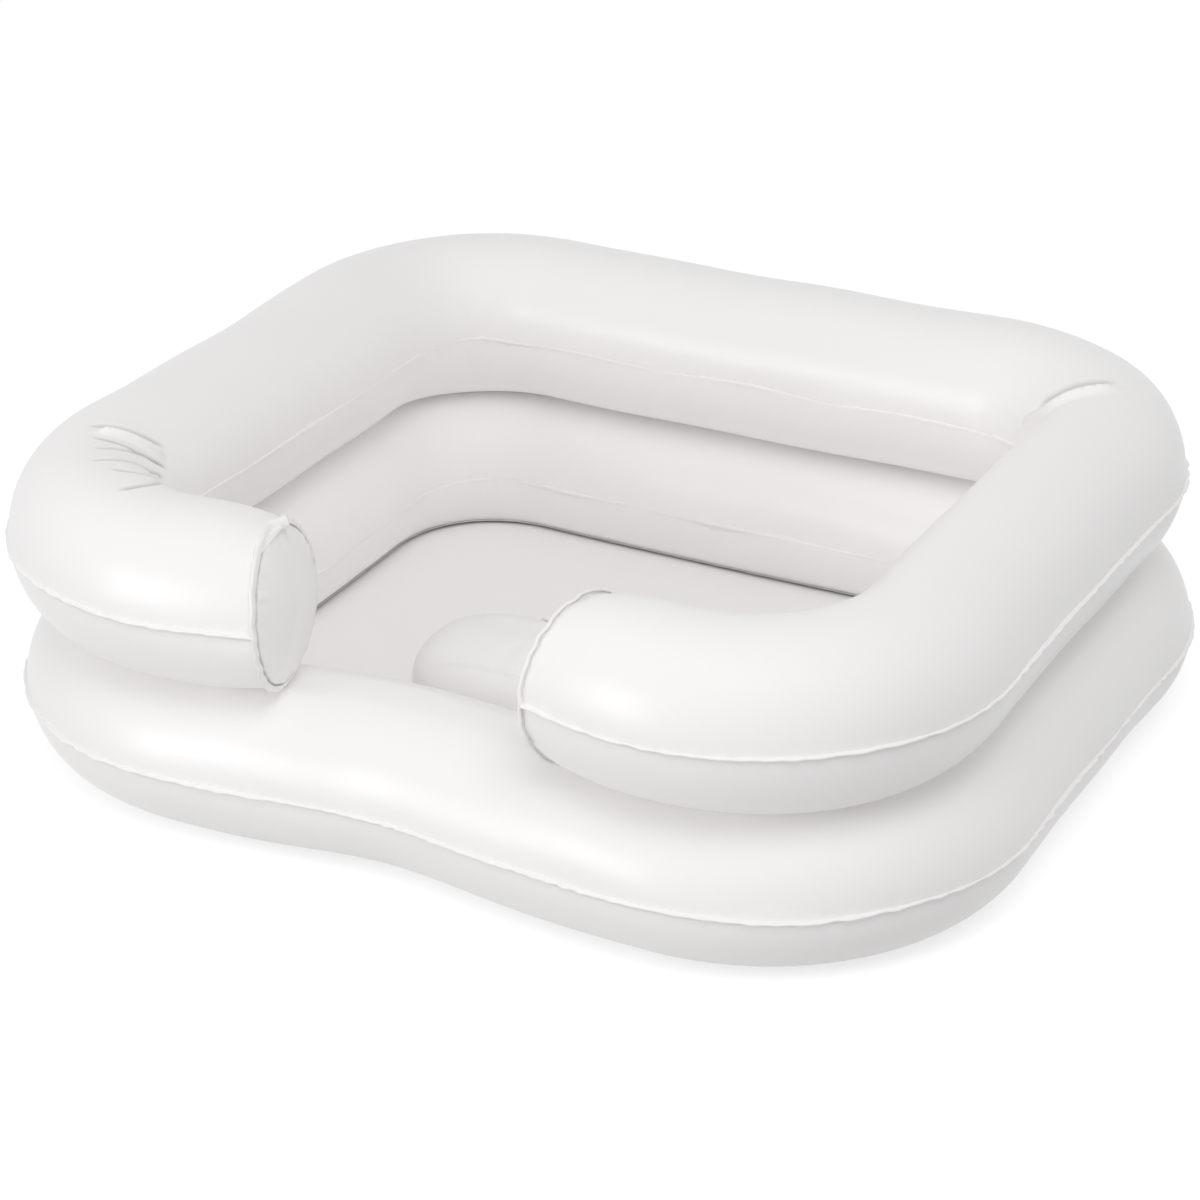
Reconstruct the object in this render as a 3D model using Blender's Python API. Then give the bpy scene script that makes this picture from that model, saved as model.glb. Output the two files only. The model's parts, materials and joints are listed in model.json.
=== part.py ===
"""Portable inflatable shampoo basin, neck opening towards -Y, metres, +Z up.

A closed lower ring carries a C-shaped upper ring, open at the neck. Each air chamber is a top
film and a bottom film that meet face to face in flat weld flanges at the tube's widest line.
The floor film is welded round the foot of the lower ring, a small headrest lies on it behind
the neck dip, and each chamber has a push-in valve with a strapped plug and a check flap.
The origin is on the table, under the middle of the basin.
"""
import math
from dataclasses import dataclass

import bpy
import bmesh
import numpy as np
from mathutils import Matrix, Vector

# Films and welds
FILM = 0.0005
GAP = 0.0003
WELD_WIDTH = 0.005
OVERRUN = 0.003

# Lower ring, measured on the centre line of its tube
LOWER_HALF_WIDTH = 0.2959
LOWER_HALF_DEPTH = 0.2573
LOWER_CORNER = 0.1277
LOWER_SIDE_BOW = 0.0055
LOWER_BACK_BOW = 0.0084
LOWER_SHIFT = 0.0078
LOWER_DIP = 0.0167
LOWER_DIP_WIDTH = 0.0976
LOWER_DIP_X = -0.0168
LOWER_TUBE_HALF_WIDTH = 0.0596
LOWER_TUBE_HALF_HEIGHT = 0.0564

# Upper ring, which follows the lower one
UPPER_SIDE_INSET = 0.0052
UPPER_DEPTH_EXCESS = 0.0055
UPPER_HALF_WIDTH = LOWER_HALF_WIDTH - UPPER_SIDE_INSET
UPPER_HALF_DEPTH = LOWER_HALF_DEPTH + UPPER_DEPTH_EXCESS
UPPER_CORNER = 0.1240
UPPER_SIDE_BOW = -0.0059
UPPER_BACK_BOW = 0.0069
UPPER_SHIFT = -0.0062
UPPER_DIP = 0.0191
UPPER_DIP_WIDTH = 0.141
UPPER_TUBE_HALF_WIDTH = 0.0547
UPPER_TUBE_HALF_HEIGHT = 0.0590

# Pressed flats where a tube rests, and the weld line of the floor, as angles round the tube
FLAT_DEGREES = 78
FLOOR_WELD_DEGREES = 54
FLOOR_RIM = 0.006
FLOOR_ROW_SHARES = (0.8, 0.5, 0.2)
FLOOR_SAG = 0.0003

# Ends of the C-shaped ring
LEFT_END_X = -0.0950
RIGHT_END_X = 0.1072
END_REACH = 0.060
END_TAPER_SHARE = 0.115
LEFT_CURL_SHARES = (0.048, -0.051, -0.069)
RIGHT_CURL_SHARES = (0.088, -0.005, -0.071)
END_WELD_WIDTH = 0.003
END_DOME = 0.008
END_DOME_POWER = 0.8
END_ROW_SHARES = (1.0, 0.9, 0.7, 0.4)

# Headrest
HEADREST_X = -0.014
HEADREST_HALF_LENGTH = 0.078
HEADREST_HALF_DEPTH = 0.048
HEADREST_TOP_RISE = 0.038
HEADREST_BOTTOM_DROP = 0.044
HEADREST_CLEARANCE = 0.022
HEADREST_WELD_WIDTH = 0.004
HEADREST_PLAN_POWER = 3
HEADREST_EDGE_POWER = 3
HEADREST_CROWN_POWER = 4
HEADREST_ROW_SHARES = (1.0, 0.98, 0.93, 0.8, 0.55)
HEADREST_VALVE_SHARE = 0.9

# Valves, in the frame of each valve: distances from its axis and heights over the film
VALVE_PLACE_SHARE = 0.9
VALVE_DEGREES = 25
FLANGE_RADIUS = 0.0125
FLANGE_THICKNESS = 0.0010
FLANGE_HOLE = 0.0066
FILM_HOLE = 0.0069
BARREL_RADIUS = 0.0060
BARREL_DEPTH = 0.0156
BORE_RADIUS = 0.0035
RIM_RADIUS = 0.0075
RIM_THICKNESS = 0.0010
LIP_RADIUS = 0.0076
LIP_THICKNESS = 0.0010
TAB_WIDTH = 0.0044
TAB_STEP = 0.0001
PLUG_HEAD_RADIUS = 0.0055
PLUG_HEAD_THICKNESS = 0.0014
PLUG_LENGTH = 0.0045
PLUG_TOP_RADIUS = 0.0032
PLUG_TIP_RADIUS = 0.0025
STRAP_REACH = 0.0140
STRAP_WIDTH = 0.0034
STRAP_THICKNESS = 0.0008
KNUCKLE_RADIUS = 0.00055
FLAP_RADIUS = 0.0046
FLAP_THICKNESS = 0.0006

# Drain, on the floor behind the right arm, measured in from the lower ring's centre line
DRAIN_SIDE_INSET = 0.1309
DRAIN_FRONT_INSET = 0.1445
DRAIN_FLANGE_RADIUS = 0.0150
DRAIN_BORE = 0.0050
DRAIN_NECK = 0.0066
DRAIN_HOLE_CLEARANCE = 0.0003
DRAIN_COLLAR_THICKNESS = 0.0016
DRAIN_WALL = 0.0010
DRAIN_BODY_RADIUS = 0.0085
DRAIN_FOOT = 0.0004
SPIGOT_RADIUS = 0.0039
SPIGOT_BORE = 0.0031
SPIGOT_LENGTH = 0.0260
SPIGOT_BARB = 0.0003
SPIGOT_BARB_LENGTH = 0.0050
DRAIN_PLUG_HEAD = 0.0085
DRAIN_PLUG_THICKNESS = 0.0018
DRAIN_PLUG_LENGTH = 0.0036
DRAIN_PLUG_TOP = 0.0047
DRAIN_PLUG_TIP = 0.0042
DRAIN_STRAP_REACH = 0.0200
DRAIN_STRAP_WIDTH = 0.0050
DRAIN_STRAP_THICKNESS = 0.0010
DRAIN_KNUCKLE = 0.0007

# Surfaces
FILM_COLOUR = (0.80, 0.79, 0.78)
FILM_ROUGHNESS = 0.32
MOULDED_COLOUR = (0.72, 0.72, 0.71)
MOULDED_ROUGHNESS = 0.42
SMOOTH_DEGREES = 40

# Facets
STEP_SHARE = 0.01
HALVINGS = 30
KNUCKLE_STEPS = 8
CORNER_STEPS = 6
SIDE_STEPS = 3
BACK_STEPS = 4
FRONT_STEPS = 9
ARM_STEPS = 3
ARC_STEPS = 5
END_SECTORS = 20
HEADREST_SECTORS = 30
ROUND_SECTORS = 16


# Materials

def vinyl(name, colour, roughness):
    material = bpy.data.materials.new(name)
    material.use_nodes = True
    shader = material.node_tree.nodes["Principled BSDF"]
    shader.inputs["Base Color"].default_value = (*colour, 1.0)
    shader.inputs["Roughness"].default_value = roughness
    shader.inputs["Metallic"].default_value = 0.0
    material.diffuse_color = (*colour, 1.0)
    return material


def film_material(name):
    return vinyl(name, FILM_COLOUR, FILM_ROUGHNESS)


def moulded_material(name):
    return vinyl(name, MOULDED_COLOUR, MOULDED_ROUGHNESS)


# Mesh helpers

def add_object(name, verts, faces, material, parent=None):
    """Make a named object from points and faces, with its faces turned outwards."""
    mesh = bpy.data.meshes.new(name)
    mesh.from_pydata([tuple(float(c) for c in v) for v in verts], [], faces)
    shape = bmesh.new()
    shape.from_mesh(mesh)
    bmesh.ops.recalc_face_normals(shape, faces=shape.faces)
    if shape.calc_volume(signed=True) < 0:
        bmesh.ops.reverse_faces(shape, faces=shape.faces)
    shape.to_mesh(mesh)
    shape.free()
    mesh.shade_smooth()
    mesh.set_sharp_from_angle(angle=math.radians(SMOOTH_DEGREES))
    mesh.materials.append(material)
    item = bpy.data.objects.new(name, mesh)
    bpy.context.collection.objects.link(item)
    item.parent = parent
    return item


def as_cutter(item):
    item.hide_render = True
    item.display_type = "WIRE"
    return item


def boolean(item, other, operation):
    step = item.modifiers.new(operation.lower() + "_" + other.name, "BOOLEAN")
    step.operation = operation
    step.solver = "EXACT"
    step.object = other
    return step


def lathe(name, profile, material, parent=None, sectors=ROUND_SECTORS):
    """Turn a closed profile of (radius, height) points about Z; radius 0 makes a pole."""
    angles = [2 * math.pi * k / sectors for k in range(sectors)]
    verts, rows = [], []
    for radius, height in profile:
        if radius == 0:
            rows.append([len(verts)] * sectors)
            verts.append((0, 0, height))
        else:
            rows.append([len(verts) + k for k in range(sectors)])
            verts += [(radius * math.cos(a), radius * math.sin(a), height) for a in angles]
    faces = []
    for low, high in zip(rows, rows[1:] + rows[:1]):
        for k in range(sectors):
            j = (k + 1) % sectors
            loop = list(dict.fromkeys((low[k], low[j], high[j], high[k])))
            if len(loop) > 2:
                faces.append(loop)
    return add_object(name, verts, faces, material, parent)


def bar(name, outline, width, material, parent=None):
    """Extrude a closed outline of (x, z) points along Y, to half the width on each side."""
    count = len(outline)
    verts = [(x, -width / 2, z) for x, z in outline] + [(x, width / 2, z) for x, z in outline]
    faces = [list(range(count)), list(range(2 * count - 1, count - 1, -1))]
    for k in range(count):
        j = (k + 1) % count
        faces.append([k, j, count + j, count + k])
    return add_object(name, verts, faces, material, parent)


def strip_faces(rows, closed_rows, closed_points):
    """Quads between successive rows of equal length."""
    faces = []
    pairs = list(zip(rows, rows[1:]))
    if closed_rows:
        pairs.append((rows[-1], rows[0]))
    for low, high in pairs:
        last = len(low) if closed_points else len(low) - 1
        for k in range(last):
            j = (k + 1) % len(low)
            faces.append([low[k], low[j], high[j], high[k]])
    return faces


# Rings

@dataclass
class Ring:
    half_width: float
    half_depth: float
    corner: float
    side_bow: float
    back_bow: float
    shift: float
    dip: float
    dip_width: float
    dip_x: float
    tube_half_width: float
    tube_half_height: float
    centre_z: float
    ends: tuple = None

    def bend(self, x, y):
        """Bow the sides and the back of the plain rounded rectangle, and dip its front."""
        side_share = max(0.0, 1 - (y / self.half_depth) ** 2) * (x / self.half_width) ** 2
        back_share = max(0.0, 1 - (x / self.half_width) ** 2) * (y / self.half_depth) ** 2
        px = x - math.copysign(self.side_bow, x) * side_share
        if y > 0:
            return px, y - self.back_bow * back_share + self.shift
        dip_share = math.exp(-((x - self.dip_x) / self.dip_width) ** 2) * (y / self.half_depth) ** 2
        return px, y + self.dip * dip_share + self.shift

    def plain_points(self):
        """Points of the plain rounded rectangle, anticlockwise from the front."""
        reach_x = self.half_width - self.corner
        reach_y = self.half_depth - self.corner
        if self.ends:
            starts = [self.ends[1] + (reach_x - self.ends[1]) * k / ARM_STEPS for k in range(ARM_STEPS)]
        else:
            starts = [-reach_x + 2 * reach_x * k / FRONT_STEPS for k in range(FRONT_STEPS)]
        points = [(x, -self.half_depth) for x in starts]
        sides = (SIDE_STEPS, BACK_STEPS, SIDE_STEPS)
        centres = ((reach_x, -reach_y), (reach_x, reach_y), (-reach_x, reach_y), (-reach_x, -reach_y))
        for turn, (cx, cy) in enumerate(centres):
            for k in range(CORNER_STEPS):
                angle = math.radians(90 * (turn - 1 + k / CORNER_STEPS))
                points.append((cx + self.corner * math.cos(angle), cy + self.corner * math.sin(angle)))
            if turn == 3:
                break
            angle = math.radians(90 * turn)
            first = Vector((cx + self.corner * math.cos(angle), cy + self.corner * math.sin(angle)))
            nx, ny = centres[turn + 1]
            last = Vector((nx + self.corner * math.cos(angle), ny + self.corner * math.sin(angle)))
            for k in range(sides[turn]):
                points.append(tuple(first.lerp(last, k / sides[turn])))
        if self.ends:
            for k in range(ARM_STEPS + 1):
                x = -reach_x + (self.ends[0] + reach_x) * k / ARM_STEPS
                points.append((x, -self.half_depth))
        return points

    def stations(self):
        """Places, tangents and outward normals along the centre line."""
        places = np.array([self.bend(x, y) for x, y in self.plain_points()])
        if self.ends:
            tangents = np.gradient(places, axis=0)
        else:
            tangents = np.roll(places, -1, axis=0) - np.roll(places, 1, axis=0)
        tangents /= np.linalg.norm(tangents, axis=1)[:, None]
        normals = np.stack([tangents[:, 1], -tangents[:, 0]], axis=1)
        return places, tangents, normals

    def end_shares(self, places):
        """How near each station is to the right and to the left end of the C, from 0 to 1."""
        if not self.ends:
            return np.zeros((2, len(places)))
        steps = np.linalg.norm(np.diff(places, axis=0), axis=1)
        along = np.concatenate([[0.0], np.cumsum(steps)])
        right = np.clip(1 - along / END_REACH, 0, 1) ** 2
        left = np.clip(1 - (along[-1] - along) / END_REACH, 0, 1) ** 2
        return right, left

    def sweep(self, section_at):
        """Carry a closed section of (outward, up) points along the ring as one solid. The section
        narrows towards an end of the C, and curls there."""
        places, tangents, normals = self.stations()
        verts = []
        for place, tangent, normal, right, left in zip(places, tangents, normals,
                                                       *self.end_shares(places)):
            size = 1 - END_TAPER_SHARE * (right + left)
            section = np.array(section_at(size))
            slide = left * self.curl(section, size, LEFT_CURL_SHARES)
            slide = slide - right * self.curl(section, size, RIGHT_CURL_SHARES)
            flat = place + np.outer(section[:, 0], normal) + np.outer(slide, tangent)
            verts += [(x, y, self.centre_z + h) for (x, y), h in zip(flat, section[:, 1])]
        count = len(section)
        rows = [[s * count + k for k in range(count)] for s in range(len(places))]
        faces = strip_faces(rows, not self.ends, True)
        if self.ends:
            half = count // 2
            for row in (rows[0], rows[-1]):
                faces += [[row[k], row[k + 1], row[count - 2 - k], row[count - 1 - k]]
                          for k in range(half - 1)]
        return verts, faces

    def curl(self, section, size, curl_shares):
        """How far the points of an end's section stand out towards the neck gap: a share of the
        way outwards, of the way up, and of the square of the way up."""
        side_share, rise_share, curve_share = curl_shares
        outward = section[:, 0] / (size * self.tube_half_width)
        up = section[:, 1] / (size * self.tube_half_height)
        shares = side_share * outward + rise_share * up + curve_share * up ** 2
        return shares * self.tube_half_width

    def back_frame(self, place_share, degrees):
        """Frame on the outer film at the back, at a share of the way to the corner: X along the
        ring, Z out of the film."""
        x = place_share * (self.half_width - self.corner)
        px, py = self.bend(x, self.half_depth)
        qx, qy = self.bend(x - STEP_SHARE * self.half_width, self.half_depth)
        along = Vector((qx - px, qy - py, 0)).normalized()
        outward = Vector((along.y, -along.x, 0))
        turn = math.radians(degrees)
        width, height = self.tube_half_width, self.tube_half_height
        place = Vector((px, py, self.centre_z)) + outward * width * math.cos(turn)
        place.z += height * math.sin(turn)
        normal = outward * math.cos(turn) / width + Vector((0, 0, math.sin(turn) / height))
        normal.normalize()

        def inside(point):
            offset = point - Vector((px, py, self.centre_z))
            return (offset.dot(outward) / width) ** 2 + (offset.z / height) ** 2 < 1
        return frame_matrix(place, along, normal), inside


def frame_matrix(place, along, normal):
    """Matrix whose Z is the normal, whose X is the along direction and whose origin is the place."""
    across = normal.cross(along).normalized()
    along = across.cross(normal)
    matrix = Matrix((along, across, normal)).transposed().to_4x4()
    matrix.translation = place
    return matrix


def arc_degrees(low, flat):
    """Angles round half a tube: steps up to the pressed flat and down again, or all round."""
    if flat:
        rise = [low + (flat - low) * k / ARC_STEPS for k in range(ARC_STEPS + 1)]
        return rise + [180 - a for a in reversed(rise)]
    steps = 2 * ARC_STEPS
    return [low + (180 - 2 * low) * k / steps for k in range(steps + 1)]


def film_section(ring, sign, flat, through, size):
    """Closed outline of half a tube's film with its two weld flanges, for the top or bottom."""
    width, height = size * ring.tube_half_width, size * ring.tube_half_height
    seam = GAP / 2
    low = math.degrees(math.asin((FILM + seam) / height))
    angles = arc_degrees(low, flat)
    if through:
        nearest = min(range(len(angles)), key=lambda k: abs(angles[k] - through))
        angles[nearest] = through
        angles[-1 - nearest] = 180 - through
    outer = [(width * math.cos(math.radians(a)), height * math.sin(math.radians(a))) for a in angles]
    inner = []
    for k, (w, h) in enumerate(outer):
        end = k in (0, len(outer) - 1)
        turn = math.radians(angles[k])
        inner.append((w - FILM * math.cos(turn), seam if end else h - FILM * math.sin(turn)))
    reach = width + WELD_WIDTH
    outer = [(reach, seam + FILM)] + outer + [(-reach, seam + FILM)]
    inner = [(reach, seam)] + inner + [(-reach, seam)]
    return [(w, sign * h) for w, h in outer + inner[::-1]]


def make_film(name, ring, sign, flat=None, through=None):
    verts, faces = ring.sweep(lambda size: film_section(ring, sign, flat, through, size))
    return add_object(name, verts, faces, film_material(name))


def end_panel(name, ring, last):
    """Domed oval panel that closes one arm, with a flat rim that covers the ends of the films."""
    places, tangents, normals = ring.stations()
    place, normal = places[-1 if last else 0], normals[-1 if last else 0]
    tangent = tangents[-1] if last else -tangents[0]
    curl_shares = LEFT_CURL_SHARES if last else RIGHT_CURL_SHARES
    size = 1 - END_TAPER_SHARE
    width, height = size * ring.tube_half_width, size * ring.tube_half_height
    rim = 1 + END_WELD_WIDTH / width
    shares = (rim,) + END_ROW_SHARES
    verts = []

    def add_row(share, away):
        for k in range(END_SECTORS):
            turn = 2 * math.pi * k / END_SECTORS
            w = share * width * math.cos(turn)
            h = share * height * math.sin(turn)
            slide = ring.curl(np.array([[w, h]]), size, curl_shares)[0] + away
            x, y = place + normal * w + tangent * slide
            verts.append((x, y, ring.centre_z + h))

    def dome(share):
        return END_DOME * max(0.0, 1 - share ** 2) ** END_DOME_POWER

    for share in shares:
        add_row(share, GAP + FILM + dome(share))
    for share in reversed(shares):
        add_row(share, GAP + dome(share))
    rows = [[r * END_SECTORS + k for k in range(END_SECTORS)] for r in range(2 * len(shares))]
    inner_row = rows.pop(len(shares))
    outer_row = rows[len(shares) - 1]
    faces = strip_faces(rows[:len(shares)], False, True)
    faces += strip_faces([inner_row] + rows[len(shares):] + [rows[0]], False, True)
    for row, away in ((outer_row, GAP + FILM + END_DOME), (inner_row, GAP + END_DOME)):
        x, y = place + tangent * away
        verts.append((x, y, ring.centre_z))
        pole = len(verts) - 1
        faces += [[row[k], row[(k + 1) % END_SECTORS], pole] for k in range(END_SECTORS)]
    return add_object(name, verts, faces, film_material(name))


# Floor

def floor_foot(ring):
    """Where the floor's edge meets the tube, the way up the tube there and the way off it."""
    turn = math.radians(FLOOR_WELD_DEGREES)
    width, height = ring.tube_half_width, ring.tube_half_height
    place = Vector((-width * math.cos(turn), -height * math.sin(turn)))
    lean = Vector((-width * math.sin(turn), height * math.cos(turn))).normalized()
    away = Vector((-lean.y, lean.x))
    return place + away * GAP, lean, away


def floor_height(ring):
    """Height of the floor film's underside at its edge."""
    return ring.centre_z + floor_foot(ring)[0].y


def make_floor(ring):
    """Floor film that sags a little and whose edge turns up along the tube as a weld band."""
    foot, lean, away = floor_foot(ring)
    tip = foot + lean * FLOOR_RIM
    edge = Vector((foot.x - FILM, foot.y + FILM))
    section = [foot, tip, tip + away * FILM, edge]
    places, tangents, normals = ring.stations()
    verts, rows = [], []
    for point in section:
        row = []
        for place, normal in zip(places, normals):
            x, y = place + normal * point.x
            row.append(len(verts))
            verts.append((x, y, ring.centre_z + point.y))
        rows.append(row)
    faces = strip_faces(rows, False, True)
    count = len(places)
    for edge in (rows[0], rows[-1]):
        rim = [Vector(verts[k]) for k in edge]
        middle = sum(rim, Vector()) / count
        inner = [edge]
        for share in FLOOR_ROW_SHARES:
            sag = Vector((0, 0, FLOOR_SAG * (1 - share ** 2)))
            inner.append([len(verts) + k for k in range(count)])
            verts += [middle.lerp(point, share) - sag for point in rim]
        faces += strip_faces(inner, False, True)
        faces += [[inner[-1][k], inner[-1][(k + 1) % count], len(verts)] for k in range(count)]
        verts.append(middle - Vector((0, 0, FLOOR_SAG)))
    return add_object("basin_floor_film", verts, faces, film_material("basin_floor_film"))


# Headrest

def headrest_frame(ring):
    """Middle of the headrest's weld plane."""
    front = -ring.half_depth + ring.shift + ring.dip + ring.tube_half_width
    y = front + WELD_WIDTH + HEADREST_CLEARANCE + HEADREST_WELD_WIDTH + HEADREST_HALF_DEPTH
    z = floor_height(ring) + FILM + GAP + HEADREST_BOTTOM_DROP
    return Vector((HEADREST_X, y, z))


def headrest_share(x, y, inset=0):
    power = HEADREST_PLAN_POWER
    a = HEADREST_HALF_LENGTH - inset
    b = HEADREST_HALF_DEPTH - inset
    return (abs(x / a) ** power + abs(y / b) ** power) ** (1 / power)


def headrest_rise_share(share):
    return max(0.0, 1 - share ** HEADREST_CROWN_POWER) ** (1 / HEADREST_EDGE_POWER)


def headrest_film(name, ring, sign, depth):
    """Half of the headrest: a boxy dome over a rounded plan, with a weld flange round it."""
    centre = headrest_frame(ring)
    verts, rows = [], []
    angles = [2 * math.pi * (k + 0.5) / HEADREST_SECTORS for k in range(HEADREST_SECTORS)]

    def add_row(share, inset, spread, height):
        row = []
        for angle in angles:
            c, s = math.cos(angle), math.sin(angle)
            reach = share / headrest_share(c, s, inset) + spread
            row.append(len(verts))
            verts.append((centre.x + reach * c, centre.y + reach * s, centre.z + sign * height))
        rows.append(row)

    seam = GAP / 2
    add_row(1.0, 0, HEADREST_WELD_WIDTH, seam + FILM)
    for share in HEADREST_ROW_SHARES:
        rise = (depth - seam - FILM) * headrest_rise_share(share)
        add_row(share, 0, 0, seam + FILM + rise)
    outer_pole = len(verts)
    verts.append((centre.x, centre.y, centre.z + sign * depth))
    count = len(rows)
    for share in reversed(HEADREST_ROW_SHARES):
        rise = (depth - seam - FILM) * headrest_rise_share(share)
        add_row(share, FILM, 0, seam + rise)
    add_row(1.0, 0, HEADREST_WELD_WIDTH, seam)
    inner_pole = len(verts)
    verts.append((centre.x, centre.y, centre.z + sign * (depth - FILM)))
    faces = strip_faces(rows[:count], False, True)
    faces += strip_faces(rows[count:] + rows[:1], False, True)
    for row, pole in ((rows[count - 1], outer_pole), (rows[count], inner_pole)):
        faces += [[row[k], row[(k + 1) % len(row)], pole] for k in range(len(row))]
    return add_object(name, verts, faces, film_material(name))


def headrest_back_frame(ring):
    """Frame on the headrest's top film, on the side away from the neck."""
    centre = headrest_frame(ring)
    rise = HEADREST_TOP_RISE

    def height(y):
        return rise * headrest_rise_share(headrest_share(0, y))
    y = HEADREST_HALF_DEPTH * HEADREST_VALVE_SHARE
    step = HEADREST_HALF_DEPTH * STEP_SHARE
    slope = (height(y + step) - height(y - step)) / (2 * step)
    normal = Vector((0, -slope, 1)).normalized()
    place = centre + Vector((0, y, height(y)))

    def inside(point):
        offset = point - centre
        share = headrest_share(offset.x, offset.y)
        return offset.z < 0 or offset.z < rise * headrest_rise_share(share)
    return frame_matrix(place, Vector((-1, 0, 0)), normal), inside


# Valves

def film_height(matrix, inside, x, y):
    """Height of the film over the point (x, y) of a valve's own plane."""
    low, high = -FLANGE_RADIUS, OVERRUN
    for _ in range(HALVINGS):
        middle = (low + high) / 2
        if inside(matrix @ Vector((x, y, middle))):
            low = middle
        else:
            high = middle
    return low


def valve_flange(name, anchor, matrix, inside):
    """Thin welded ring that follows the curve of the film."""
    verts, rows = [], []
    radii = [FLANGE_HOLE, (FLANGE_HOLE + FLANGE_RADIUS) / 2, FLANGE_RADIUS]
    loops = [(r, GAP) for r in radii] + [(r, GAP + FLANGE_THICKNESS) for r in reversed(radii)]
    for radius, lift in loops:
        row = []
        for k in range(ROUND_SECTORS):
            turn = 2 * math.pi * k / ROUND_SECTORS
            x, y = radius * math.cos(turn), radius * math.sin(turn)
            row.append(len(verts))
            verts.append((x, y, lift + film_height(matrix, inside, x, y)))
        rows.append(row)
    return add_object(name, verts, strip_faces(rows, True, True), moulded_material(name), anchor)


def strap_levels():
    """Heights over the film of the rim's underside and top, and of the strap's hinge line."""
    rim_low = 2 * GAP + FLANGE_THICKNESS
    rim_high = rim_low + RIM_THICKNESS
    return rim_low, rim_high, rim_high + GAP + KNUCKLE_RADIUS


def valve_stem(name, anchor):
    """Push-in stem: rim with the strap's tab, barrel, and a lip inside the chamber."""
    rim_low, rim_high, hinge = strap_levels()
    bottom = -BARREL_DEPTH
    stem = lathe(name, [(BORE_RADIUS, rim_high), (BORE_RADIUS, bottom), (LIP_RADIUS, bottom),
                        (LIP_RADIUS, bottom + LIP_THICKNESS), (BARREL_RADIUS, bottom + LIP_THICKNESS),
                        (BARREL_RADIUS, rim_low), (RIM_RADIUS, rim_low), (RIM_RADIUS, rim_high)],
                 moulded_material(name), anchor)
    start = (BORE_RADIUS + BARREL_RADIUS) / 2
    end = STRAP_REACH + KNUCKLE_RADIUS
    tab_low, tab_high = rim_low + TAB_STEP, rim_high - TAB_STEP
    tab = bar(name + "_tab", [(start, tab_low), (end, tab_low), (end, tab_high), (start, tab_high)],
              TAB_WIDTH, stem.data.materials[0], anchor)
    boolean(stem, as_cutter(tab), "UNION")
    return stem


def strap_outline(start, reach, thickness, knuckle):
    """Side view of a strap that ends in a round knuckle centred on the origin."""
    half = math.asin(min(1.0, thickness / 2 / knuckle))
    outline = [(start - reach, -thickness / 2)]
    for k in range(KNUCKLE_STEPS + 1):
        turn = (math.pi - half) * (2 * k / KNUCKLE_STEPS - 1)
        outline.append((knuckle * math.cos(turn), knuckle * math.sin(turn)))
    outline.append((start - reach, thickness / 2))
    return outline


def strapped_plug(name, anchor, hinge_place, sizes):
    """Stopper whose origin is on its hinge line, on a strap with a round knuckle."""
    reach, head, head_low, head_high, top, tip, tip_z, width, thickness, knuckle = sizes
    plug = lathe(name, [(0, head_high), (head, head_high), (head, head_low), (top, head_low),
                        (tip, tip_z), (0, tip_z)], moulded_material(name), anchor)
    for vert in plug.data.vertices:
        vert.co.x -= reach
    plug.location = hinge_place
    outline = strap_outline((top + head) / 2, reach, thickness, knuckle)
    strap = bar(name + "_strap", outline, width, plug.data.materials[0], anchor)
    strap.location = hinge_place
    boolean(plug, as_cutter(strap), "UNION")
    return plug


def valve_plug(name, anchor):
    rim_low, rim_high, hinge = strap_levels()
    head_low = rim_high + GAP - hinge
    sizes = (STRAP_REACH, PLUG_HEAD_RADIUS, head_low, head_low + PLUG_HEAD_THICKNESS, PLUG_TOP_RADIUS,
             PLUG_TIP_RADIUS, head_low - GAP - PLUG_LENGTH, STRAP_WIDTH, STRAP_THICKNESS,
             KNUCKLE_RADIUS)
    return strapped_plug(name, anchor, (STRAP_REACH, 0, hinge), sizes)


def valve_flap(name, anchor):
    """Check flap under the barrel; its origin is on its hinge line."""
    half = FLAP_THICKNESS / 2
    flap = lathe(name, [(0, half), (FLAP_RADIUS, half), (FLAP_RADIUS, -half), (0, -half)],
                 moulded_material(name), anchor)
    for vert in flap.data.vertices:
        vert.co.x -= FLAP_RADIUS
    flap.location = (FLAP_RADIUS, 0, -BARREL_DEPTH - GAP - half)
    return flap


def make_valve(label, film, matrix, inside):
    """All pieces of one valve, and the hole for it in the film."""
    anchor = bpy.data.objects.new(label + "_valve_anchor", None)
    bpy.context.collection.objects.link(anchor)
    anchor.matrix_world = matrix
    cut = lathe(label + "_valve_hole", [(0, OVERRUN), (FILM_HOLE, OVERRUN), (FILM_HOLE, -OVERRUN),
                                        (0, -OVERRUN)], moulded_material(label + "_hole"), anchor)
    boolean(film, as_cutter(cut), "DIFFERENCE")
    valve_flange(label + "_valve_flange", anchor, matrix, inside)
    valve_stem(label + "_valve_stem", anchor)
    valve_plug(label + "_valve_plug", anchor)
    valve_flap(label + "_valve_flap", anchor)


# Drain

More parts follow.
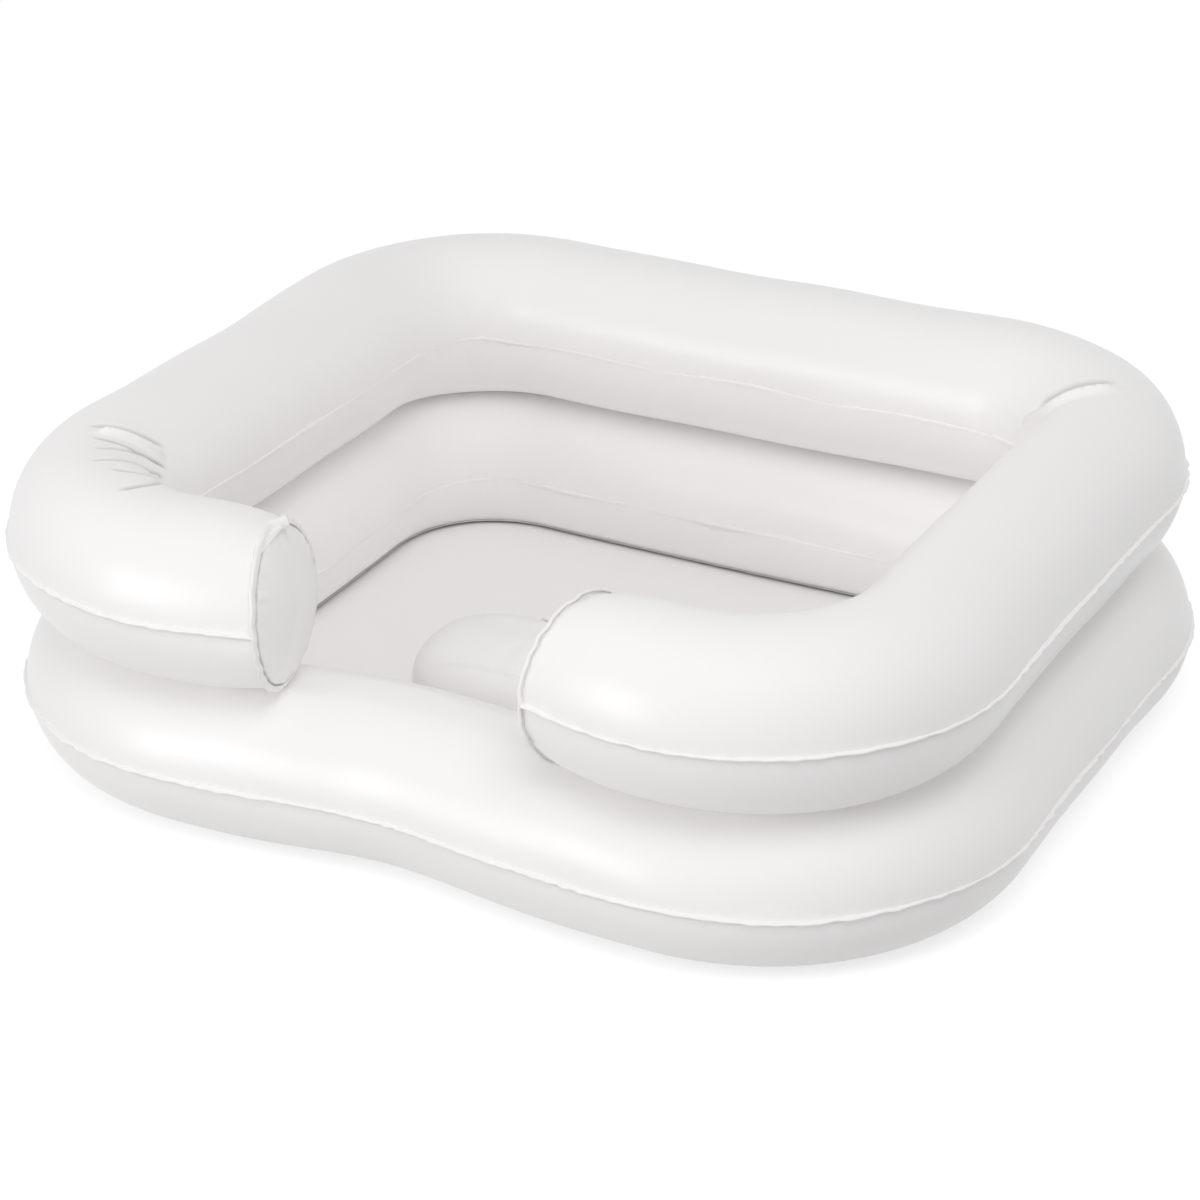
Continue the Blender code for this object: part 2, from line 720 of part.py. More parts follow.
def make_drain(ring, floor):
    """Moulded outlet with a side spigot under the floor, its collar and its strapped plug."""
    under = floor_height(ring)
    anchor = bpy.data.objects.new("drain_anchor", None)
    bpy.context.collection.objects.link(anchor)
    anchor.location = (ring.half_width - DRAIN_SIDE_INSET,
                       ring.shift - ring.half_depth + DRAIN_FRONT_INSET, 0)
    deck_high = under + FILM
    collar_low = deck_high + GAP
    collar_high = collar_low + DRAIN_COLLAR_THICKNESS
    flange_high = under - FLOOR_SAG - GAP
    flange_low = flange_high - DRAIN_WALL
    clear = DRAIN_NECK + DRAIN_HOLE_CLEARANCE

    elbow = lathe("drain_elbow", [
        (0, DRAIN_FOOT), (DRAIN_BODY_RADIUS, DRAIN_FOOT), (DRAIN_BODY_RADIUS, flange_low),
        (DRAIN_FLANGE_RADIUS, flange_low), (DRAIN_FLANGE_RADIUS, flange_high),
        (DRAIN_NECK, flange_high), (DRAIN_NECK, collar_high), (0, collar_high)],
        moulded_material("drain_elbow"), anchor)
    axis_z = DRAIN_FOOT + SPIGOT_RADIUS + SPIGOT_BARB
    barb = SPIGOT_RADIUS + SPIGOT_BARB
    start, end = DRAIN_BODY_RADIUS / 2, SPIGOT_LENGTH
    spigot = lathe("drain_spigot_form", [
        (0, start), (SPIGOT_RADIUS, start), (SPIGOT_RADIUS, end - 2 * SPIGOT_BARB_LENGTH),
        (barb, end - 2 * SPIGOT_BARB_LENGTH), (SPIGOT_RADIUS, end - SPIGOT_BARB_LENGTH),
        (barb, end - SPIGOT_BARB_LENGTH), (SPIGOT_RADIUS - SPIGOT_BARB, end), (0, end)],
        elbow.data.materials[0], anchor)
    bore = lathe("drain_spigot_bore", [(0, 0), (SPIGOT_BORE, 0), (SPIGOT_BORE, end + OVERRUN),
                                       (0, end + OVERRUN)], elbow.data.materials[0], anchor)
    for item in (spigot, bore):
        item.location = (0, 0, axis_z)
        item.rotation_euler.y = math.radians(90)
    well = lathe("drain_well", [(0, axis_z - SPIGOT_BORE), (DRAIN_BORE, axis_z - SPIGOT_BORE),
                                (DRAIN_BORE, collar_high + OVERRUN), (0, collar_high + OVERRUN)],
                 elbow.data.materials[0], anchor)
    boolean(elbow, as_cutter(spigot), "UNION")
    boolean(elbow, as_cutter(well), "DIFFERENCE")
    boolean(elbow, as_cutter(bore), "DIFFERENCE")

    hole = lathe("drain_floor_hole", [(0, under - OVERRUN), (clear, under - OVERRUN),
                                      (clear, under + OVERRUN), (0, under + OVERRUN)],
                 elbow.data.materials[0], anchor)
    boolean(floor, as_cutter(hole), "DIFFERENCE")

    collar = lathe("drain_collar", [
        (clear, collar_low), (DRAIN_FLANGE_RADIUS, collar_low),
        (DRAIN_FLANGE_RADIUS, collar_low + DRAIN_WALL), (DRAIN_FLANGE_RADIUS - DRAIN_WALL, collar_high),
        (clear, collar_high)], moulded_material("drain_collar"), anchor)
    tab_low, tab_high = collar_low + TAB_STEP, collar_high - TAB_STEP
    tab_end = -(DRAIN_STRAP_REACH + DRAIN_KNUCKLE)
    tab_start = -(clear + DRAIN_FLANGE_RADIUS) / 2
    tab = bar("drain_collar_tab", [(tab_start, tab_low), (tab_end, tab_low), (tab_end, tab_high),
                                   (tab_start, tab_high)], DRAIN_STRAP_WIDTH + DRAIN_WALL,
              collar.data.materials[0], anchor)
    boolean(collar, as_cutter(tab), "UNION")

    turned = bpy.data.objects.new("drain_strap_anchor", None)
    bpy.context.collection.objects.link(turned)
    turned.parent = anchor
    turned.rotation_euler.z = math.pi
    hinge = collar_high + GAP + DRAIN_KNUCKLE
    head_low = -DRAIN_KNUCKLE
    sizes = (DRAIN_STRAP_REACH, DRAIN_PLUG_HEAD, head_low, head_low + DRAIN_PLUG_THICKNESS,
             DRAIN_PLUG_TOP, DRAIN_PLUG_TIP, head_low - GAP - DRAIN_PLUG_LENGTH, DRAIN_STRAP_WIDTH,
             DRAIN_STRAP_THICKNESS, DRAIN_KNUCKLE)
    strapped_plug("drain_plug", turned, (DRAIN_STRAP_REACH, 0, hinge), sizes)


def main():
    for item in list(bpy.data.objects):
        bpy.data.objects.remove(item)

    press = math.sin(math.radians(FLAT_DEGREES))
    lower_z = LOWER_TUBE_HALF_HEIGHT * press
    upper_z = 2 * lower_z + GAP + UPPER_TUBE_HALF_HEIGHT * press
    upper = Ring(UPPER_HALF_WIDTH, UPPER_HALF_DEPTH, UPPER_CORNER, UPPER_SIDE_BOW, UPPER_BACK_BOW,
                 UPPER_SHIFT, UPPER_DIP, UPPER_DIP_WIDTH, 0, UPPER_TUBE_HALF_WIDTH,
                 UPPER_TUBE_HALF_HEIGHT, upper_z, (LEFT_END_X, RIGHT_END_X))
    lower = Ring(LOWER_HALF_WIDTH, LOWER_HALF_DEPTH, LOWER_CORNER, LOWER_SIDE_BOW, LOWER_BACK_BOW,
                 LOWER_SHIFT, LOWER_DIP, LOWER_DIP_WIDTH, LOWER_DIP_X, LOWER_TUBE_HALF_WIDTH,
                 LOWER_TUBE_HALF_HEIGHT, lower_z)

    upper_top = make_film("upper_ring_top_film", upper, 1)
    make_film("upper_ring_bottom_film", upper, -1, FLAT_DEGREES)
    lower_top = make_film("lower_ring_top_film", lower, 1, FLAT_DEGREES)
    make_film("lower_ring_bottom_film", lower, -1, FLAT_DEGREES, FLOOR_WELD_DEGREES)
    end_panel("upper_ring_left_end_panel", upper, True)
    end_panel("upper_ring_right_end_panel", upper, False)
    floor = make_floor(lower)
    headrest_top = headrest_film("headrest_top_film", lower, 1, HEADREST_TOP_RISE)
    headrest_film("headrest_bottom_film", lower, -1, HEADREST_BOTTOM_DROP)

    make_valve("upper", upper_top, *upper.back_frame(VALVE_PLACE_SHARE, VALVE_DEGREES))
    make_valve("lower", lower_top, *lower.back_frame(-VALVE_PLACE_SHARE, VALVE_DEGREES))
    make_valve("headrest", headrest_top, *headrest_back_frame(lower))
    make_drain(lower, floor)


main()
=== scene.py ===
# %% [markdown]
# # A two-tier inflatable shampoo basin in Blender
# The basin is made of white vinyl film. A closed lower ring stands on the table, a C-shaped
# upper ring lies on it and is open at the neck, and a small inflated headrest lies on the floor
# film behind the gap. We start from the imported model, which says where every piece is and which
# body it moves with, and then put a finer surface over each of its pieces.

import json
import math

import bmesh
import bpy
import numpy as np
from mathutils import Matrix, Vector
from mathutils.bvhtree import BVHTree


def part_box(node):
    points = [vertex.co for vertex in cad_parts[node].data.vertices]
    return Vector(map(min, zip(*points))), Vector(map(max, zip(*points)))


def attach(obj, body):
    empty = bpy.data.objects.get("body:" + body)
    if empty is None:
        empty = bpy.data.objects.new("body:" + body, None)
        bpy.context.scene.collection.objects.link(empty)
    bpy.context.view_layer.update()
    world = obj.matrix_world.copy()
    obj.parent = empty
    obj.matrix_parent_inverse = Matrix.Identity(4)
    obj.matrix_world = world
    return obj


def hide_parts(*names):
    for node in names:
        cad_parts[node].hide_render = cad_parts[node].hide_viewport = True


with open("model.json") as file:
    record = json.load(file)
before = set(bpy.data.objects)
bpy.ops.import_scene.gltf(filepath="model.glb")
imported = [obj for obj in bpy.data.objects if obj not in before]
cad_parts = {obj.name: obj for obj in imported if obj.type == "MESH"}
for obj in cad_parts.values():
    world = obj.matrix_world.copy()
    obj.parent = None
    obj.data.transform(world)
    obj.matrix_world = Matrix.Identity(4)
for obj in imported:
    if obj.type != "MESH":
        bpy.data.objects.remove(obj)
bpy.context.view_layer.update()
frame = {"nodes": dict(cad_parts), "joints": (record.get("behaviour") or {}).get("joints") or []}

# %% [markdown]
# ## Camera
# The photograph looks down at the basin from above its front right corner. Both rings are flat
# loops of known proportions, so their outlines and seams fix the direction, the distance and the
# lens. The camera is set straight from those numbers, with no shift.

# %% Camera
VIEW_AZIMUTH = 0.4806844
VIEW_ELEVATION = 0.4513297
VIEW_DISTANCE = 2.3370865
VIEW_TARGET = Vector((-0.0087667, -0.0024438, 0.0818759))
VIEW_LENS = 103.673
SENSOR_WIDTH = 36.0


def linked(name, data):
    """New object with the given name and data, in the scene."""
    item = bpy.data.objects.new(name, data)
    bpy.context.collection.objects.link(item)
    return item


def make_camera():
    """Camera at target + distance x backward, looking along -backward."""
    backward = Vector((math.sin(VIEW_AZIMUTH) * math.cos(VIEW_ELEVATION),
                       -math.cos(VIEW_AZIMUTH) * math.cos(VIEW_ELEVATION),
                       math.sin(VIEW_ELEVATION)))
    sideways = Vector((math.cos(VIEW_AZIMUTH), math.sin(VIEW_AZIMUTH), 0))
    upward = backward.cross(sideways)
    lens = bpy.data.cameras.new("camera")
    lens.lens = VIEW_LENS
    lens.sensor_width = SENSOR_WIDTH
    lens.clip_end = 100
    camera = linked("camera", lens)
    place = Matrix((sideways, upward, backward)).transposed().to_4x4()
    place.translation = VIEW_TARGET + VIEW_DISTANCE * backward
    camera.matrix_world = place
    bpy.context.scene.camera = camera
    return camera


camera = make_camera()
print("camera at", [round(v, 3) for v in camera.location])

# %% [markdown]
# ## Light
# The highlights on the tubes say where the main lamp is. At each one the surface is turned
# halfway between the camera and the lamp, and all of them point back to one upright softbox, low
# on the front left. A second, wide softbox stands high on the front right. It lights the tops and
# the hollow but isn't mirrored in the vinyl, where the photograph shows no second highlight. The
# rest comes evenly from all round. White vinyl bounces the light many times before it leaves the
# hollow, which keeps it bright.

# %% World and lamps
SKY_STRENGTH = 0.556
KEY_LAMP = ("key_lamp", -24, 11, 2.6, 0.95, 1.10, 12.4, True)
HIGH_LAMP = ("high_lamp", 35, 55, 2.6, 1.40, 1.20, 17.2, False)
LIGHT_BOUNCES = 8

scene = bpy.context.scene
scene.view_settings.view_transform = "Standard"
scene.cycles.diffuse_bounces = LIGHT_BOUNCES


def node_tools(tree):
    """Two helpers for a node tree: add makes a node, where each setting is a property, and put
    fills its inputs, each with a value or with another node's output."""

    def add(kind, **settings):
        node = tree.nodes.new("ShaderNode" + kind)
        for name, value in settings.items():
            setattr(node, name, value)
        return node

    def put(node, inputs):
        for key, value in inputs.items():
            if isinstance(value, bpy.types.NodeSocket):
                tree.links.new(value, node.inputs[key])
            else:
                node.inputs[key].default_value = value
        return node.outputs[0] if node.outputs else None

    return add, put


def seen_directly(add, put, kinds):
    """One where a ray is of one of the kinds, such as Is Camera Ray."""
    path = add("LightPath")
    seen = path.outputs[kinds[0]]
    for kind in kinds[1:]:
        seen = put(add("Math", operation="MAXIMUM"), {0: seen, 1: path.outputs[kind]})
    return seen


def make_world():
    """White where the camera, a reflection or clear plastic looks at it; an even sky elsewhere."""
    world = bpy.data.worlds.new("studio")
    world.use_nodes = True
    world.node_tree.nodes.clear()
    scene.world = world
    add, put = node_tools(world.node_tree)
    sky, white = (put(add("Background"), {"Color": (1, 1, 1, 1), "Strength": strength})
                  for strength in (SKY_STRENGTH, 1.0))
    seen = seen_directly(add, put, ("Is Camera Ray", "Is Glossy Ray", "Is Transmission Ray"))
    both = put(add("MixShader"), {0: seen, 1: sky, 2: white})
    put(add("OutputWorld"), {"Surface": both})


def make_lamp(name, azimuth, elevation, distance, width, height, power, mirrored):
    """Softbox of the given width and height in metres, facing the basin from the azimuth and
    elevation in degrees; azimuth is to the right of the front. One that isn't mirrored lights
    the vinyl but makes no highlight on it, as a scrim over the whole table would."""
    turn, rise = math.radians(azimuth), math.radians(elevation)
    direction = Vector((math.sin(turn) * math.cos(rise), -math.cos(turn) * math.cos(rise),
                        math.sin(rise)))
    lamp = bpy.data.lights.new(name, "AREA")
    lamp.shape = "RECTANGLE"
    lamp.size = width
    lamp.size_y = height
    lamp.energy = power
    holder = linked(name, lamp)
    holder.location = VIEW_TARGET + direction * distance
    holder.rotation_mode = "QUATERNION"
    holder.rotation_quaternion = direction.to_track_quat("Z", "Y")
    holder.visible_glossy = mirrored
    return holder


make_world()
for lamp in (KEY_LAMP, HIGH_LAMP):
    print(lamp[0], "at", [round(v, 2) for v in make_lamp(*lamp).location], lamp[-2], "W")

# %% [markdown]
# ## Floor
# A plain white floor carries the basin's soft shadow. Seen by the camera it gets a little light
# of its own, so that away from the basin it is as white as the background.

# %% Floor
STAGE_HALF = 8.0
STAGE_GAP = 0.0004
STAGE_WHITE = 0.65
STAGE_LIFT = 0.60


def make_stage():
    """Square floor just under the basin, brighter for the camera and for reflections."""
    mesh = bpy.data.meshes.new("stage")
    h, z = STAGE_HALF, -STAGE_GAP
    mesh.from_pydata([(-h, -h, z), (h, -h, z), (h, h, z), (-h, h, z)], [], [(0, 1, 2, 3)])
    stage = linked("stage", mesh)
    material = bpy.data.materials.new("stage_white")
    material.use_nodes = True
    material.node_tree.nodes.clear()
    add, put = node_tools(material.node_tree)
    matte = put(add("BsdfDiffuse"), {"Color": (STAGE_WHITE,) * 3 + (1,)})
    glow = put(add("Emission"), {"Strength": STAGE_LIFT})
    lifted = put(add("AddShader"), {0: matte, 1: glow})
    seen = seen_directly(add, put, ("Is Camera Ray", "Is Glossy Ray"))
    put(add("OutputMaterial"), {"Surface": put(add("MixShader"), {0: seen, 1: matte, 2: lifted})})
    mesh.materials.append(material)


make_stage()
print("stage", 2 * STAGE_HALF, "m wide")

# %% [markdown]
# ## Vinyl
# Calendered vinyl film is white with a faint warm cast, satin rather than shiny, and never quite
# even: its colour and gloss drift a little, a very fine grain softens the highlights, and slack
# in the film makes long shallow ripples. One node group gives these to every material. Heat
# welds carry the fine ribs of the welding bar, which follow each piece's own UV map where its
# weld attribute is one. Sharp folds, the corners beside welds and other crevices are painted
# grey where a second point attribute is one: painted shade, standing in for the shade in them.

# %% Node group for the film
GRAIN_PER_METRE, GRAIN_DETAIL = 900.0, 2.0
RIPPLE_PER_METRE, RIPPLE_DETAIL = 26.0, 1.0
GLOSS_DETAIL = 3.0
DRIFT_PER_METRE, DRIFT_DETAIL = 7.0, 4.0
RIB_SCALE = 260.0


def vinyl_group():
    """Colour = base to shade by a slow noise, then to a painted shade grey by the painted shade
    attribute. Roughness = low to high by a middling noise. Height = fine grain + slack ripples +
    weld ribs along the film's own UV map."""
    group = bpy.data.node_groups.new("vinyl_film", "ShaderNodeTree")

    def socket(name, kind, way, value=None):
        item = group.interface.new_socket(name=name, in_out=way, socket_type=kind)
        if value is not None:
            item.default_value = value

    socket("Base", "NodeSocketColor", "INPUT", (0.8, 0.8, 0.8, 1))
    socket("Shade", "NodeSocketColor", "INPUT", (0.7, 0.7, 0.7, 1))
    socket("Fold", "NodeSocketColor", "INPUT", (0.5, 0.5, 0.5, 1))
    for name in ("Rough Low", "Rough High", "Grain", "Ripple", "Rib"):
        socket(name, "NodeSocketFloat", "INPUT", 0.0)
    socket("Color", "NodeSocketColor", "OUTPUT")
    socket("Roughness", "NodeSocketFloat", "OUTPUT")
    socket("Normal", "NodeSocketVector", "OUTPUT")

    add, put = node_tools(group)
    given = group.nodes.new("NodeGroupInput").outputs
    place = add("TexCoord").outputs["Object"]

    def noise(scale, detail):
        node = add("TexNoise")
        put(node, {"Scale": scale, "Detail": detail, "Vector": place})
        return node.outputs["Fac"]

    def mark(name):
        return add("Attribute", attribute_name=name).outputs["Fac"]

    def combine(kind, first, second):
        return put(add("Math", operation=kind), {0: first, 1: second})

    def blend(share, first, second):
        node = add("Mix", data_type="RGBA")
        put(node, {0: share, 6: first, 7: second})
        return node.outputs[2]

    tint = blend(noise(DRIFT_PER_METRE, DRIFT_DETAIL), given["Base"], given["Shade"])
    # Painted shade: the colour turns to a grey where the painted shade attribute is one.
    colour = blend(mark("fold"), tint, given["Fold"])
    rough = put(add("Mix"), {0: noise(RIPPLE_PER_METRE, GLOSS_DETAIL), 2: given["Rough Low"],
                             3: given["Rough High"]})
    grain = combine("MULTIPLY", noise(GRAIN_PER_METRE, GRAIN_DETAIL), given["Grain"])
    ripple = combine("MULTIPLY", noise(RIPPLE_PER_METRE, RIPPLE_DETAIL), given["Ripple"])
    ribs = add("TexWave", bands_direction="DIAGONAL")
    put(ribs, {"Scale": RIB_SCALE, "Vector": add("UVMap", uv_map="film").outputs["UV"]})
    rib = combine("MULTIPLY", combine("MULTIPLY", ribs.outputs["Fac"], mark("weld")),
                  given["Rib"])
    height = combine("ADD", combine("ADD", grain, ripple), rib)
    bump = put(add("Bump"), {"Distance": 1.0, "Height": height})
    put(group.nodes.new("NodeGroupOutput"), {"Color": colour, "Roughness": rough, "Normal": bump})
    return group


film_group = vinyl_group()
print("node group:", film_group.name, len(film_group.nodes), "nodes")

# %% [markdown]
# The films are nearly pure white and the moulded pieces are a little darker. Each material is
# one row: its colour and shade, the range of its roughness, and the heights of its grain and of
# its ripples in metres.

# %% Materials
VINYL_IOR = 1.54
# Grey of the painted shade in folds and crevices, standing in for the shade that falls there.
PAINTED_SHADE_GREY = (0.42, 0.41, 0.40)
RIB_HEIGHT = 0.00004
SHEET = ((0.982, 0.969, 0.965), (0.970, 0.956, 0.952))
MOULDED = ((0.86, 0.855, 0.845), (0.83, 0.825, 0.815))
VINYLS = {"ring": (SHEET, (0.29, 0.36), 0.000006, 0.00030),
          "floor": (SHEET, (0.30, 0.40), 0.000008, 0.00045),
          "headrest": (SHEET, (0.29, 0.36), 0.000006, 0.00022),
          "valve": (MOULDED, (0.30, 0.38), 0.000004, 0.00002),
          "drain": (MOULDED, (0.34, 0.42), 0.000008, 0.00002)}


def vinyl(name, colours, rough, grain, ripple):
    """Principled vinyl whose colour, roughness and normal come from the film group."""
    material = bpy.data.materials.new(name)
    material.use_nodes = True
    add, put = node_tools(material.node_tree)
    base, shade, fold = ((*colour, 1) for colour in (*colours, PAINTED_SHADE_GREY))
    node = add("Group", node_tree=film_group)
    put(node, {"Base": base, "Shade": shade, "Fold": fold, "Rough Low": rough[0],
               "Rough High": rough[1], "Grain": grain, "Ripple": ripple, "Rib": RIB_HEIGHT})
    put(material.node_tree.nodes["Principled BSDF"],
        {"IOR": VINYL_IOR, "Base Color": node.outputs["Color"],
         "Roughness": node.outputs["Roughness"], "Normal": node.outputs["Normal"]})
    material.diffuse_color = base
    return material


vinyls = {kind: vinyl(kind + "_vinyl", *row) for kind, row in VINYLS.items()}
print("materials:", [material.name for material in vinyls.values()])

# %% [markdown]
# ## From points to a piece
# Each piece is made the same way from its points and faces: its faces are turned outwards and
# shaded smooth, its UV map, its weld attribute and its painted shade attribute are stored, and
# it gets its material and is put on the body that it belongs to.

# %% Mesh helpers
SMOOTH_DEGREES = 48


def circle(count):
    """Angles of so many places round a circle."""
    return 2 * math.pi * np.arange(count) / count


def eased(share):
    """Smooth step from 0 to 1: 3 x share squared - 2 x share cubed."""
    return share * share * (3 - 2 * share)


def outward(mesh):
    """Turns the faces of one closed surface to its outside."""
    shell = bmesh.new()
    shell.from_mesh(mesh)
    bmesh.ops.recalc_face_normals(shell, faces=shell.faces)
    shell.to_mesh(mesh)
    shell.free()


def soften(mesh):
    """Smooth shading, with the edges sharper than a set angle kept sharp."""
    mesh.shade_smooth()
    mesh.set_sharp_from_angle(angle=math.radians(SMOOTH_DEGREES))


def add_piece(name, points, faces, material, body, slot, chart=None, **marks):
    """Object from arrays of points and faces; chart is one UV per face corner, and each of the
    marks is one value per point."""
    mesh = bpy.data.meshes.new(name)
    mesh.from_pydata(np.reshape(points, (-1, 3)).tolist(), [], [list(map(int, f)) for f in faces])
    if chart is not None:
        layer = mesh.uv_layers.new(name="film")
        layer.data.foreach_set("uv", np.asarray(chart, dtype=np.float32).ravel())
    for mark, values in marks.items():
        layer = mesh.attributes.new(mark, "FLOAT", "POINT")
        layer.data.foreach_set("value", np.asarray(values, dtype=np.float32).ravel())
    outward(mesh)
    soften(mesh)
    mesh.materials.append(material)
    piece = linked(name, mesh)
    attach(piece, body)
    return piece


print("edges over", SMOOTH_DEGREES, "degrees stay sharp")

# %% [markdown]
# Every film is a grid: one direction follows the ring, the other goes round the section. The
# helpers below turn such a grid into faces, give it a UV map in metres, close it where it ends,
# and choose places that lie closer together where there is fine relief.

# %% Grids
ZONE_FADE = 0.02
SPREAD_SAMPLES = 20001


def grid_faces(rows, columns, wrap_rows, wrap_columns):
    """Quads of a grid whose point (r, c) has the index r x columns + c."""
    r = np.arange(rows if wrap_rows else rows - 1)
    c = np.arange(columns if wrap_columns else columns - 1)
    r, c = np.meshgrid(r, c, indexing="ij")
    r2, c2 = (r + 1) % rows, (c + 1) % columns
    quads = np.stack([r * columns + c, r2 * columns + c, r2 * columns + c2, r * columns + c2], -1)
    return quads.reshape(-1, 4)


def grid_chart(along, across):
    """UVs of grid_faces' corners from one value per row line and one per column line."""
    r, c = np.meshgrid(np.arange(len(along) - 1), np.arange(len(across) - 1), indexing="ij")
    corners = [(r, c), (r + 1, c), (r + 1, c + 1), (r, c + 1)]
    chart = [np.stack([along[a], across[b]], -1) for a, b in corners]
    return np.stack(chart, 2).reshape(-1, 2)


def measured(line):
    """Length along a closed line of points, one value per point and the whole at the end."""
    loop = np.concatenate([line, line[:1]])
    return np.concatenate([[0], np.cumsum(np.linalg.norm(np.diff(loop, axis=0), axis=1))])


def closed_cup(name, points, outer_rows, material, slot, weld_rows, fold=()):
    """Closed sheet from rings of points: the first rows are the outer face from the rim to its
    pole, the rest the inner face from its pole back to the rim. The painted shade is one value
    for each of the first rows."""
    rows, columns = points.shape[:2]
    faces = grid_faces(rows, columns, True, True).reshape(rows, columns, 4)
    chart = grid_chart(measured(points[:, 0]), measured(points[0])).reshape(rows, columns, 8)
    faces = np.delete(faces, outer_rows - 1, 0).reshape(-1, 4).tolist()
    chart = np.delete(chart, outer_rows - 1, 0).reshape(-1, 2)
    k = np.arange(columns)
    k2 = np.roll(k, -1)
    for row, pole in ((outer_rows - 1, rows * columns), (outer_rows, rows * columns + 1)):
        fan = np.stack([row * columns + k, np.full(columns, pole), row * columns + k2], -1)
        faces += (fan if row < outer_rows else fan[:, ::-1]).tolist()
    chart = np.concatenate([chart, np.zeros((6 * columns, 2))])
    poles = [points[outer_rows - 1].mean(0), points[outer_rows].mean(0)]
    weld = np.zeros(rows * columns + 2)
    weld[:weld_rows * columns] = 1
    weld[(rows - weld_rows) * columns:rows * columns] = 1
    # Painted shade of the rows, stored as a point attribute.
    mark = np.zeros(rows * columns + 2)
    mark[:len(fold) * columns] = np.repeat(fold, columns)
    return add_piece(name, np.concatenate([points.reshape(-1, 3), poles]), faces, material,
                     "basin", slot, chart, weld=weld, fold=mark)


def spread(first, last, step, zones):
    """Places from first to last, about a step apart, and closer within the zones (from, to,
    step): the count grows by one over each wanted step."""
    fine = np.linspace(first, last, SPREAD_SAMPLES)
    wanted = np.full(fine.shape, step)
    for begin, end, small in zones:
        away = np.maximum(0, np.maximum(begin - fine, fine - end)) / (last - first)
        wanted = np.minimum(wanted, small + (step - small) * np.clip(away / ZONE_FADE, 0, 1))
    count = np.concatenate([[0], np.cumsum(np.diff(fine) / wanted[:-1])])
    return np.interp(np.linspace(0, count[-1], math.ceil(count[-1]) + 1), count, fine)


print("places from 0 to 1:", np.round(spread(0, 1, 0.25, [(0.4, 0.5, 0.05)]), 2))

# %% [markdown]
# ## The line that each ring follows
# Seen from above, a ring's centre line is a rounded rectangle whose sides bow a little and whose
# front dips inwards at the neck. We walk along the plain rounded rectangle by its length, so a
# place on the ring is a single number, and then bend the points.

# %% Ring lines
FILM = 0.0005
SEAM_GAP = 0.0003
PRESSED_DEGREES = 78


class Ring:
    """Centre line and tube of one ring; every length is in metres."""

    def __init__(self, half_width, half_depth, corner, side_bow, back_bow, shift, dip, dip_width,
                 dip_x, tube_half_width, tube_half_height, centre_z):
        self.half_width, self.half_depth, self.corner = half_width, half_depth, corner
        self.side_bow, self.back_bow, self.shift = side_bow, back_bow, shift
        self.dip, self.dip_width, self.dip_x = dip, dip_width, dip_x
        self.wide, self.high, self.centre_z = tube_half_width, tube_half_height, centre_z
        reach_x, reach_y = half_width - corner, half_depth - corner
        turn = math.pi / 2 * corner
        self.runs = np.array([reach_x, turn, 2 * reach_y, turn, 2 * reach_x, turn, 2 * reach_y,
                              turn, reach_x])
        self.edges = np.concatenate([[0], np.cumsum(self.runs)])
        self.length = float(self.edges[-1])
        self.first, self.last = 0.0, self.length

    def plain(self, s):
        """Point of the plain rounded rectangle at length s from the middle of the front."""
        s = np.mod(s, self.length)
        k = np.clip(np.searchsorted(self.edges, s, side="right") - 1, 0, 8)
        t = s - self.edges[k]
        w, d, c = self.half_width, self.half_depth, self.corner
        rx, ry = w - c, d - c
        start_x = np.array([0, rx, w, w, rx, -rx, -w, -w, -rx])[k]
        start_y = np.array([-d, -d, -ry, ry, d, d, ry, -ry, -d])[k]
        heading = np.radians(np.array([0, 0, 90, 90, 180, 180, 270, 270, 360]))[k]
        turned = heading + t / c
        curved = k % 2 == 1
        x = np.where(curved, start_x + c * (np.sin(turned) - np.sin(heading)),
                     start_x + t * np.cos(heading))
        y = np.where(curved, start_y - c * (np.cos(turned) - np.cos(heading)),
                     start_y + t * np.sin(heading))
        return x, y

    def centre(self, s):
        """The plain point with its side bowed, its back bowed and its front dipped."""
        x, y = self.plain(s)
        side = np.maximum(0, 1 - (y / self.half_depth) ** 2) * (x / self.half_width) ** 2
        back = np.maximum(0, 1 - (x / self.half_width) ** 2) * (y / self.half_depth) ** 2
        dip = np.exp(-((x - self.dip_x) / self.dip_width) ** 2) * (y / self.half_depth) ** 2
        bent_x = x - np.copysign(self.side_bow, x) * side
        bent_y = np.where(y > 0, y - self.back_bow * back, y + self.dip * dip)
        return bent_x, bent_y + self.shift

    def frame(self, s, step=0.0002):
        """Place, tangent and outward normal at s, from the points just before and after it."""
        x, y = self.centre(s)
        x0, y0 = self.centre(s - step)
        x1, y1 = self.centre(s + step)
        tangent = np.stack([x1 - x0, y1 - y0], -1)
        tangent /= np.linalg.norm(tangent, axis=-1, keepdims=True)
        normal = np.stack([tangent[..., 1], -tangent[..., 0]], -1)
        return np.stack([x, y], -1), tangent, normal


FLAT_SHARE = math.sin(math.radians(PRESSED_DEGREES))
LOWER_HIGH = 0.0564
UPPER_HIGH = 0.0590
lower_z = LOWER_HIGH * FLAT_SHARE
upper_z = 2 * lower_z + SEAM_GAP + UPPER_HIGH * FLAT_SHARE
upper = Ring(0.2907, 0.2628, 0.1240, -0.0059, 0.0069, -0.0062, 0.0191, 0.1410, 0.0,
             0.0547, UPPER_HIGH, upper_z)
lower = Ring(0.2959, 0.2573, 0.1277, 0.0055, 0.0084, 0.0078, 0.0167, 0.0976, -0.0168,
             0.0596, LOWER_HIGH, lower_z)
upper.first, upper.last = 0.1072, upper.length - 0.0950
print("ring lengths", round(upper.length, 3), round(lower.length, 3))

# %% [markdown]
# The C's two arms narrow towards their ends, and each end is cut on a slant and curls, because
# the oval panel that closes it pulls the film round it in. All of this is a share of the tube's
# size that grows over the last 60 mm.

